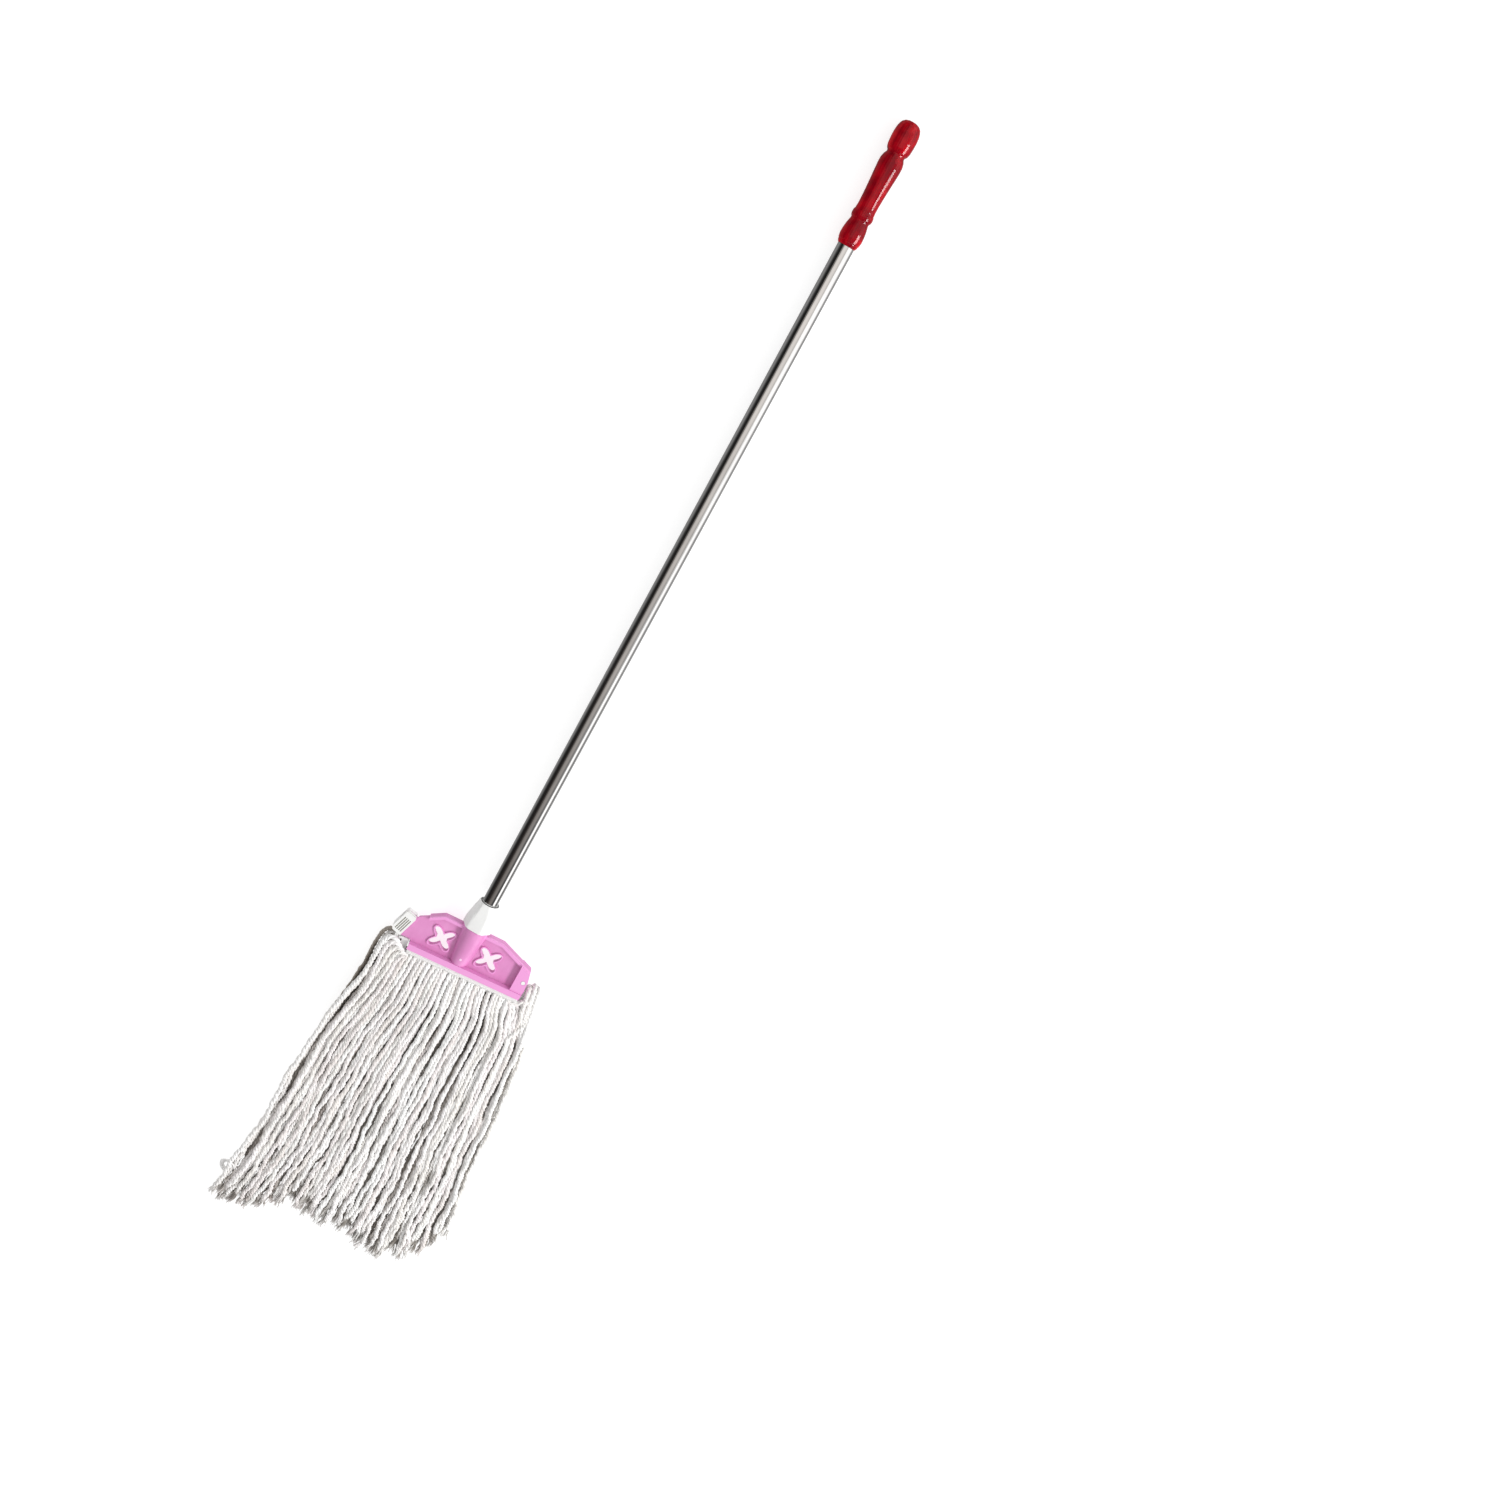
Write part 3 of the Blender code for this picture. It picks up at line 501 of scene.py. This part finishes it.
def yarn_parts(line, rng, soil_and_shade=0.0):
    """Twisted body and frayed tip of one end as parts for a mesh."""
    along = length_along(line)
    fray = FRAY * rng.uniform(0.6, 1.2)
    body = along <= along[-1] - fray
    path, at = line[body], along[body]
    from_tip = at[-1] - at
    full = YARN_RADIUS * rng.uniform(0.93, 1.05)
    radii = PINCHED_RADIUS + (full - PINCHED_RADIUS) * ease((at - 0.008) / 0.022)
    for size, low, high in ((0.045, 0.04, 0.07), (0.05, 0.013, 0.021), (0.045, 0.007, 0.011)):
        radii *= 1.0 + size * wavy(at, low, high, rng)
    radii *= 1.0 + 0.08 * ease(1.0 - from_tip / 0.02) - 0.45 * ease(1.0 - from_tip / 0.004)
    turns = 2 * math.pi * at / (PLY_PITCH * rng.uniform(0.88, 1.15)) + rng.uniform(0, 6)
    turns += 1.1 * wavy(at, 0.05, 0.11, rng)
    profile = PLY_PROFILE * PLIES
    verts, faces = tube_verts(path, radii, profile, turns)
    verts[:, 2] = np.maximum(verts[:, 2], 0.1 * MM)
    warm, pink = rng.uniform(0.0, 0.58) ** 1.5, rng.uniform(0.0, 0.72) ** 1.8
    slow = warm + 0.14 * wavy(verts[:, 1], 0.05, 0.15, rng)
    stop = JAW_Y - line[-1, 1]
    groove = np.append(np.tile(np.array(profile), len(path)), (0.9, 0.9))
    lumps = 1.0 + 0.05 * wavy(verts[:, 1], 0.009, 0.014, rng)
    tint = yarn_tint(verts, (np.clip(slow, 0.0, 1.0), pink, soil_and_shade), stop)
    # Painted shade in the ply grooves, times random lumps of tone along the yarn.
    tint *= ((1.0 - 0.55 * (1.0 - groove)) * lumps)[:, None]
    fibres = loose_fibres(line, along, fray, (warm, pink, soil_and_shade), stop, rng)
    return [(verts, faces, np.clip(tint, 0.0, 0.98))] + fibres


def lock_of(line):
    """Which of the six locks an end belongs to, counted from the left."""
    x, y, _ = line[len(line) // 2]
    left, right = edges_at(JAW_Y - y)
    return min(LOCKS, max(1, 1 + int(LOCKS * (x - left) / (right - left))))


def declare_end(name, line, cotton, rng, node):
    """One loose end as a piece of its own, in place of the CAD node that it hides."""
    verts, faces, tint = join_parts(yarn_parts(line, rng))
    made = piece(name, make_mesh(name, verts, faces, tint), cotton, "gate")
    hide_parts(node)


def make_yarn(cotton):
    """The front layer's ends as pieces of their own, and the other layers grouped by the CAD lock they stand
    for.
    """
    rng = np.random.default_rng(YARN_SEED)
    groups = {}
    for layer, count in enumerate(LAYER_COUNTS):
        side = "front" if layer > 1 else "back"
        for index in range(count):
            line = yarn_route(layer, index, rng)
            lock = lock_of(line)
            if layer == 3:
                declare_end(f"yarn_end_{index + 1:02d}", line, cotton, rng, f"yarn_front_{lock}")
            else:
                # Painted brown shade on the back layers' outer left ends, most on the outermost.
                soil_and_shade = 0.9 - 0.12 * index if layer < 2 and index < 7 else 0.0
                groups.setdefault((side, lock), []).extend(yarn_parts(line, rng, soil_and_shade))
    declare_end("yarn_end_curled", curl_route(), cotton, rng, "yarn_back_1")
    for (side, lock), parts in sorted(groups.items()):
        verts, faces, tint = join_parts(parts)
        name = f"yarn_lock_{side}_{lock}"
        made = piece(name, make_mesh(name, verts, faces, tint), cotton, "gate")
        nodes = [f"yarn_{side}_{lock}"]
        if lock == 1:
            nodes.append(f"yarn_shoulder_left_{side}")
        if lock == LOCKS:
            nodes.append("yarn_shoulder_right")
        if lock == 3:
            nodes.append("yarn_fold")
        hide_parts(*nodes)


# ---------------------------------------------------------------- tape and stitches

def tape_section():
    """Half round of the folded tape as (height above the jaw, depth), from the front edge to the middle."""
    corner_steps = 5
    half = (TAPE_HIGH.z - TAPE_LOW.z) / 2 - 0.4 * MM
    top = TAPE_HIGH.y - JAW_Y - 0.4 * MM
    low = TAPE_LOW.y - JAW_Y - TAPE_HEM
    corner = 3.2 * MM
    points = [(low + (top - corner - low) * i / 3, half) for i in range(3)]
    for i in range(corner_steps + 1):
        angle = math.radians(90) * i / corner_steps
        points.append((top - corner + corner * math.sin(angle), half - corner + corner * math.cos(angle)))
    return points + [(top, half * 0.4), (top, 0.0)]


def make_tape(canvas):
    """The canvas header tape, folded over the yarn, with an opening for the gate's ear."""
    half_section = tape_section()
    section = half_section + [(y, -z) for y, z in half_section[-2::-1]]
    verts, faces = [], []
    for i in range(TAPE_COLUMNS + 1):
        share = i / TAPE_COLUMNS
        x = TAPE_LOW.x + (TAPE_HIGH.x - TAPE_LOW.x) * share
        ripple = 0.35 * MM * math.sin(share * 41.0) + 0.25 * MM * math.sin(share * 93.0 + 1.0)
        for height, depth in section:
            hang = ease((1.0 * MM - height) / (6.0 * MM))
            bulge = 0.22 * MM * math.sin(share * 118.0) * hang
            y = JAW_Y + height + ripple * hang * (1.0 if height < 0.0 else 0.0)
            verts.append((x, y, AXIS_Z + depth + math.copysign(bulge, depth) * (abs(depth) > 1.0 * MM)))
    rows = len(section)
    ear_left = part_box("gate_pin")[0].x - 6.2 * MM
    for i in range(TAPE_COLUMNS):
        x = TAPE_LOW.x + (TAPE_HIGH.x - TAPE_LOW.x) * (i + 0.5) / TAPE_COLUMNS
        for j in range(rows - 1):
            depth = abs(section[j][1] + section[j + 1][1]) / 2
            if x > ear_left and depth < 6.5 * MM:
                continue
            faces.append([i * rows + j, i * rows + j + 1, (i + 1) * rows + j + 1, (i + 1) * rows + j])
    tape = piece("tape", make_mesh("tape", np.array(verts), faces), canvas, "gate")
    thick = tape.modifiers.new("cloth", "SOLIDIFY")
    thick.thickness = 0.7 * MM
    thick.offset = 0.0
    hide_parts("header_tape")
    return tape


def make_stitches(thread):
    """Two rows of sewing along the tape's lower edge, front and back."""
    spacing, length, radius = 3.4 * MM, 2.7 * MM, 0.26 * MM
    half = (TAPE_HIGH.z - TAPE_LOW.z) / 2
    count = int((TAPE_HIGH.x - TAPE_LOW.x - 4 * MM) / spacing)
    points = 7
    share = np.linspace(0.0, 1.0, points)
    radii = radius * np.interp(share, (0.0, 0.15, 0.85, 1.0), (0.55, 1.0, 1.0, 0.55))
    depth = half - 0.05 * MM + 0.28 * MM * np.sin(math.pi * share)
    parts = []
    for side in (-1.0, 1.0):
        for drop in (3.0 * MM, 5.8 * MM):
            for i in range(count):
                x = TAPE_LOW.x + 3 * MM + spacing * i
                line = np.stack([x + length * share, np.full(points, JAW_Y - drop), AXIS_Z + side * depth], 1)
                verts, faces = tube_verts(line, radii, (1.0,) * 6, np.zeros(points))
                parts.append((verts, faces, np.ones((len(verts), 3))))
    verts, faces, _ = join_parts(parts)
    return piece("tape_stitches", make_mesh("tape_stitches", verts, faces), thread, "gate")


# ---------------------------------------------------------------- materials

def plug(tree, socket, value):
    """Link a socket, or give it a colour or a number."""
    if isinstance(value, bpy.types.NodeSocket):
        tree.links.new(value, socket)
    else:
        socket.default_value = (*value, 1.0) if isinstance(value, tuple) else value


class Nodes:
    """Short way to build a node tree. place is the point that is shaded."""

    def __init__(self, tree, coordinates):
        self.tree = tree
        self.place = self.new("ShaderNodeTexCoord").outputs[coordinates]

    def new(self, kind, **settings):
        node = self.tree.nodes.new(kind)
        for key, value in settings.items():
            setattr(node, key, value)
        return node

    def fed(self, kind, inputs, **settings):
        """A new node with a link or a value for each input in inputs."""
        node = self.new(kind, **settings)
        for key, value in inputs.items():
            plug(self.tree, node.inputs[key], value)
        return node

    def axis(self, name):
        return self.fed("ShaderNodeSeparateXYZ", {"Vector": self.place}).outputs[name]

    def noise(self, scale, stretch=(1, 1, 1), detail=4.0, rough=0.55):
        mapping = self.fed("ShaderNodeMapping", {"Vector": self.place})
        mapping.inputs["Scale"].default_value = stretch
        return self.fed("ShaderNodeTexNoise", {
            "Vector": mapping.outputs["Vector"], "Scale": scale, "Detail": detail, "Roughness": rough,
        }).outputs["Fac"]

    def ramp(self, source, stops):
        """Colour ramp through (place, grey or colour) stops."""
        node = self.fed("ShaderNodeValToRGB", {"Fac": source})
        elements = node.color_ramp.elements
        while len(elements) < len(stops):
            elements.new(0.5)
        for element, (at, colour) in zip(elements, stops):
            element.position = at
            element.color = (*colour, 1.0) if isinstance(colour, tuple) else (colour, colour, colour, 1.0)
        return node.outputs["Color"]

    def share(self, source, low, high):
        """How far a value is from low to high, as 0 to 1."""
        inputs = {"Value": source, "From Min": low, "From Max": high}
        return self.fed("ShaderNodeMapRange", inputs).outputs["Result"]

    def span(self, source, low, high):
        """A value of 0 to 1 spread from low to high."""
        inputs = {"Value": source, "To Min": low, "To Max": high}
        return self.fed("ShaderNodeMapRange", inputs).outputs["Result"]

    def along(self, axis, low, high, stops):
        """Grey ramp between two places along one axis."""
        return self.ramp(self.share(self.axis(axis), low, high), stops)

    def mix(self, factor, a, b, blend="MIX"):
        inputs = {"Factor": factor, 6: a, 7: b}  # 6 and 7 are the colours A and B
        return self.fed("ShaderNodeMix", inputs, data_type="RGBA", blend_type=blend).outputs[2]

    def maths(self, operation, a, b):
        return self.fed("ShaderNodeMath", {0: a, 1: b}, operation=operation).outputs[0]


class Surface(Nodes):
    """A Principled material."""

    def __init__(self, name):
        self.material = bpy.data.materials.new(name)
        self.material.use_nodes = True
        super().__init__(self.material.node_tree, "Object")
        self.shader = self.tree.nodes["Principled BSDF"]

    def set(self, **values):
        for key, value in values.items():
            plug(self.tree, self.shader.inputs[key.replace("_", " ")], value)

    def colour(self, source):
        self.set(Base_Color=source)

    def roughness(self, source):
        self.set(Roughness=source)

    def bump(self, height, distance, strength):
        inputs = {"Height": height, "Distance": distance, "Strength": strength}
        self.set(Normal=self.fed("ShaderNodeBump", inputs).outputs["Normal"])


def steel_finish():
    """Polished tube, drawn lengthwise, with faint hand marks."""
    m = Surface("steel_tube")
    m.set(Metallic=1.0)
    drawn = m.noise(900.0, (1.0, 0.012, 1.0), 3.0)
    marks = m.noise(26.0, (1.0, 0.5, 1.0), 5.0, 0.6)
    rubbed = m.ramp(marks, [(0.35, 0.0), (0.75, 1.0)])
    m.colour(m.mix(rubbed, (0.60, 0.59, 0.585), (0.70, 0.69, 0.68)))
    m.roughness(m.maths("ADD", m.span(drawn, 0.035, 0.09), m.span(marks, -0.01, 0.03)))
    m.bump(drawn, 0.004 * MM, 0.5)
    return m.material


def lacquer_finish():
    """Deep red lacquer over turned wood: grain under a clear coat."""
    m = Surface("red_lacquer")
    grain = m.noise(170.0, (1.0, 0.06, 1.0), 6.0, 0.6)
    pool = m.noise(38.0, (1, 1, 1), 2.0)
    wood = m.ramp(grain, [
        (0.30, (0.20, 0.001, 0.006)), (0.50, (0.40, 0.002, 0.009)), (0.70, (0.60, 0.006, 0.012)),
    ])
    m.colour(m.mix(m.ramp(pool, [(0.38, 0.0), (0.62, 0.75)]), wood, (0.14, 0.001, 0.006)))
    m.roughness(m.span(m.noise(240.0), 0.40, 0.55))
    m.set(Specular_IOR_Level=0.0, Coat_Weight=0.8, Coat_Roughness=0.05, Coat_IOR=1.3)
    m.bump(m.maths("ADD", m.span(grain, 0.0, 0.35), m.span(pool, 0.0, 1.0)), 0.05 * MM, 0.12)
    return m.material


def plastic_finish(name, shades, rough, coat=0.0):
    """Moulded plastic: fine grain and slight flow marks. Returns the surface and its colour."""
    m = Surface(name)
    flow = m.noise(42.0, (1.0, 0.6, 1.0), 5.0, 0.6)
    grain = m.noise(1500.0, (1, 1, 1), 2.0)
    colour = m.mix(m.ramp(flow, [(0.30, 0.0), (0.72, 1.0)]), *shades)
    m.colour(colour)
    m.roughness(m.maths("ADD", m.span(grain, rough - 0.06, rough + 0.06), m.span(flow, -0.05, 0.07)))
    m.set(Coat_Weight=coat, Coat_Roughness=0.18)
    m.bump(m.maths("ADD", grain, m.span(flow, 0.0, 1.5)), 0.02 * MM, 0.5)
    return m, colour


def pink_finish():
    """Pink plastic, paler on the raised rims and the ledge: a painted highlight."""
    m, colour = plastic_finish("pink_plastic", PINK, 0.36, 0.1)
    reach = 20 * MM
    # Painted highlight: raised parts at both ends and near the jaw mix towards a paler pink.
    raised = m.along("Z", AXIS_Z, AXIS_Z + reach, [(0.12, 0.0), (0.20, 1.0)])
    right, left = (m.along("X", 0.0, end, [(0.72, 0.0), (0.84, 1.0)]) for end in (reach, -reach))
    ledge = m.along("Y", JAW_Y, JAW_Y + reach, [(0.42, 1.0), (0.52, 0.0)])
    where = m.maths("MAXIMUM", m.maths("MAXIMUM", right, left), ledge)
    m.colour(m.mix(m.maths("MULTIPLY", raised, where), colour, (0.80, 0.33, 0.655)))
    return m.material


def ribbed_finish(top):
    """White plastic with painted olive-grey shade at the bottom of the lever's grooves."""
    m, colour = plastic_finish("ribbed_white_plastic", RIBBED_WHITE, 0.34, 0.1)
    # Painted shade: a band a little below the lever's top, at the grooves' bottoms.
    groove = m.along("Z", top - 4.0 * MM, top, [(0.50, 0.0), (0.60, 1.0), (0.72, 1.0), (0.88, 0.0)])
    m.colour(m.mix(groove, colour, (0.50, 0.49, 0.43)))
    return m.material


def rubber_finish():
    """Dull black rubber."""
    m = Surface("black_rubber")
    grain = m.noise(900.0, (1, 1, 1), 3.0)
    m.colour(m.ramp(grain, [(0.3, (0.012, 0.012, 0.013)), (0.8, (0.035, 0.034, 0.034))]))
    m.roughness(m.span(grain, 0.45, 0.7))
    m.bump(grain, 0.03 * MM, 0.6)
    return m.material


def canvas_finish():
    """Plain woven cotton tape."""
    m = Surface("white_canvas")
    threads = []
    for direction in ("X", "Y"):
        inputs = {"Vector": m.place, "Scale": 620.0, "Distortion": 0.6, "Detail": 1.0}
        wave = m.fed("ShaderNodeTexWave", inputs, wave_type="BANDS", bands_direction=direction)
        threads.append(wave.outputs["Fac"])
    weave = m.maths("MAXIMUM", *threads)
    soil_and_shade = m.noise(60.0, (1, 1, 1), 4.0)
    clean = m.mix(m.span(soil_and_shade, 0.0, 0.6), (0.86, 0.855, 0.85), (0.76, 0.745, 0.72))
    m.colour(m.mix(m.span(weave, 0.35, 0.0), clean, (0.60, 0.59, 0.575)))
    m.roughness(m.span(weave, 0.95, 0.82))
    m.set(Sheen_Weight=0.25, Sheen_Roughness=0.5)
    m.bump(weave, 0.12 * MM, 0.7)
    return m.material


def cotton_finish(name, tinted=True):
    """Twisted cotton: tint of each yarn, fibres along it and a matt fuzz."""
    m = Surface(name)
    fibres = m.noise(1500.0, (1.0, 0.22, 1.0), 4.0, 0.6)
    lint = m.noise(260.0, (1.0, 0.5, 1.0), 3.0)
    if tinted:
        base = m.new("ShaderNodeAttribute", attribute_name="tint").outputs["Color"]
    else:
        base = m.ramp(lint, [(0.3, (0.76, 0.74, 0.70)), (0.7, (0.84, 0.83, 0.80))])
    speck = m.ramp(m.maths("MULTIPLY", fibres, m.span(lint, 0.75, 1.25)), [(0.30, 0.90), (0.58, 1.0)])
    m.colour(m.mix(1.0, base, speck, "MULTIPLY"))
    m.roughness(m.span(fibres, 0.98, 0.84))
    m.set(Sheen_Weight=0.3, Sheen_Roughness=0.45, Specular_IOR_Level=0.25)
    m.bump(fibres, 0.25 * MM, 0.55)
    return m.material


# ---------------------------------------------------------------- hard pieces

def refined(node, name, finish, body, width, angle=BEVEL_ANGLE):
    """A copy of a CAD node with its moulded edges rounded, which stands for the node."""
    mesh = frame["nodes"][node].data.copy()
    mesh.name = name
    bm = bmesh.new()
    bm.from_mesh(mesh)
    bmesh.ops.remove_doubles(bm, verts=bm.verts, dist=0.001 * MM)
    bmesh.ops.dissolve_limit(bm, angle_limit=math.radians(0.6), verts=bm.verts, edges=bm.edges)
    for face in bm.faces:
        face.smooth = True
    bm.to_mesh(mesh)
    bm.free()
    if mesh.has_custom_normals:
        mesh.normals_split_custom_set([(0.0, 0.0, 0.0)] * len(mesh.loops))
    made = piece(name, mesh, finish, body)
    bevel = made.modifiers.new("edges", "BEVEL")
    bevel.width = width
    bevel.segments = BEVEL_SEGMENTS
    bevel.limit_method = "ANGLE"
    bevel.angle_limit = math.radians(angle)
    bevel.use_clamp_overlap = True
    weighted = made.modifiers.new("normals", "WEIGHTED_NORMAL")
    weighted.keep_sharp = True
    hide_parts(node)


def repaint(node, finish):
    """A CAD node that stays, with a detailed material."""
    for item in frame["nodes"][node].material_slots:
        item.material = finish


def make_boss_mark(pale):
    """The small round mark that moulding leaves on the socket boss."""
    verts = []
    for radius, height in MARK_SECTION:
        for turn in 2 * math.pi * np.arange(MARK_SIDES) / MARK_SIDES:
            x, y = radius * MM * math.cos(turn), radius * MM * math.sin(turn)
            sag = BOSS_RADIUS - math.sqrt(BOSS_RADIUS ** 2 - (MARK_PLACE.x + x) ** 2)
            verts.append(MARK_PLACE + Vector((x, y, height * MM - sag + BOSS_SLOPE * y)))
    verts += [MARK_PLACE + Vector((0.0, 0.0, height)) for height in (0.16 * MM, -0.5 * MM)]
    low = (len(MARK_SECTION) - 1) * MARK_SIDES
    top, bottom = low + MARK_SIDES, low + MARK_SIDES + 1
    faces = []
    for i in range(MARK_SIDES):
        j = (i + 1) % MARK_SIDES
        faces += [[ring + i, ring + MARK_SIDES + i, ring + MARK_SIDES + j, ring + j]
                  for ring in range(0, low, MARK_SIDES)]
        faces += [[top, i, j], [bottom, low + j, low + i]]
    piece("boss_mark", make_mesh("boss_mark", np.array(verts), faces), pale, "head")


def make_hard_pieces():
    """Rounded copies of the nut, head, gate arm, latch and gate pin. The rest keep their CAD shape."""
    steel, rubber = steel_finish(), rubber_finish()
    white = plastic_finish("white_plastic", WHITE, 0.34, 0.1)[0].material
    grey = plastic_finish("grey_plastic", GREY, 0.36)[0].material
    pale_pink = plastic_finish("pale_pink_plastic", PALE_PINK, 0.4)[0].material
    ribbed, pink = ribbed_finish(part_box("latch")[1].z), pink_finish()
    for node, finish in (("handle_tube", steel), ("latch_pin", steel), ("grip", lacquer_finish()),
                         ("tube_plug", rubber), ("nut_ring", rubber), ("collet", grey)):
        repaint(node, finish)
    refined("lock_nut", "nut_body", white, "nut", 0.35 * MM, 20.0)
    refined("head_frame", "clamp_head", pink, "head", 0.45 * MM)
    refined("gate_arm", "gate_arm_body", white, "gate", 0.5 * MM)
    refined("latch", "latch_body", ribbed, "latch", 0.4 * MM)
    refined("gate_pin", "gate_pin_body", white, "head", 0.4 * MM)
    make_boss_mark(pale_pink)


# ---------------------------------------------------------------- stage

def make_floor():
    """White studio floor that glows a little, so that its shadows stay faint."""
    m = Surface("floor")
    m.colour(m.ramp(m.noise(3.0, (1, 1, 1), 2.0), [(0.2, (0.44, 0.44, 0.44)), (0.8, (0.46, 0.46, 0.46))]))
    m.set(Roughness=0.9, Specular_IOR_Level=0.1, Emission_Color=(1.0, 1.0, 1.0), Emission_Strength=FLOOR_GLOW)
    mesh = bpy.data.meshes.new("floor")
    corners = [(x * FLOOR_REACH, y * FLOOR_REACH, 0.0) for x, y in ((-1, -1), (1, -1), (1, 1), (-1, 1))]
    mesh.from_pydata(corners, [], [(0, 1, 2, 3)])
    mesh.materials.append(m.material)
    floor = link("floor", mesh)
    floor.visible_glossy = False


def make_world():
    """White for the camera, a gradient from left to right for matt surfaces, stripes for shiny ones."""
    world = bpy.data.worlds.new("studio")
    bpy.context.scene.world = world
    world.use_nodes = True
    w = Nodes(world.node_tree, "Generated")
    turn = w.share(w.maths("ARCTAN2", w.axis("X"), w.axis("Z")), -math.pi, math.pi)
    upper = w.share(w.axis("Y"), *ROOM_PASSING)
    room = w.mix(upper, w.ramp(turn, ROOM_LOWER), w.ramp(turn, ROOM_UPPER))
    matt = w.ramp(w.share(w.axis("X"), -MATT_REACH, MATT_REACH), MATT_SIDES)
    rays = w.new("ShaderNodeLightPath").outputs
    lit = w.mix(rays["Is Glossy Ray"], matt, room)
    seen = w.mix(rays["Is Camera Ray"], lit, (1.0, 1.0, 1.0))
    plug(w.tree, w.tree.nodes["Background"].inputs["Color"], seen)


def make_light(name, place, aim, width, height, power):
    """An area light that points at aim."""
    light = link(name, bpy.data.lights.new(name, "AREA"))
    light.data.shape = "RECTANGLE"
    light.data.size = width
    light.data.size_y = height
    light.data.energy = power
    light.location = place
    light.rotation_euler = (Vector(aim) - Vector(place)).to_track_quat("-Z", "Y").to_euler()
    return light


def make_lights():
    """A key from the right, and a strip that only shines in the grip's lacquer."""
    key = make_light("key", aim=(0.0, 0.0, 0.0), **KEY_LIGHT)
    key.visible_glossy = False
    low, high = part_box("grip")
    middle = (low + high) / 2
    strip = make_light("grip_strip", place=middle + STRIP_OFFSET, aim=middle, **STRIP_LIGHT)
    strip.visible_diffuse = False
    shining = bpy.data.collections.new("grip_strip_receivers")
    shining.objects.link(frame["nodes"]["grip"])
    strip.light_linking.receiver_collection = shining


# ---------------------------------------------------------------- build

make_camera()
make_yarn(cotton_finish("cotton_yarn"))
tape = make_tape(canvas_finish())
stitches = make_stitches(cotton_finish("sewing_thread", tinted=False))
make_hard_pieces()
make_floor()
make_world()
make_lights()
bpy.context.scene.view_settings.view_transform = "Standard"
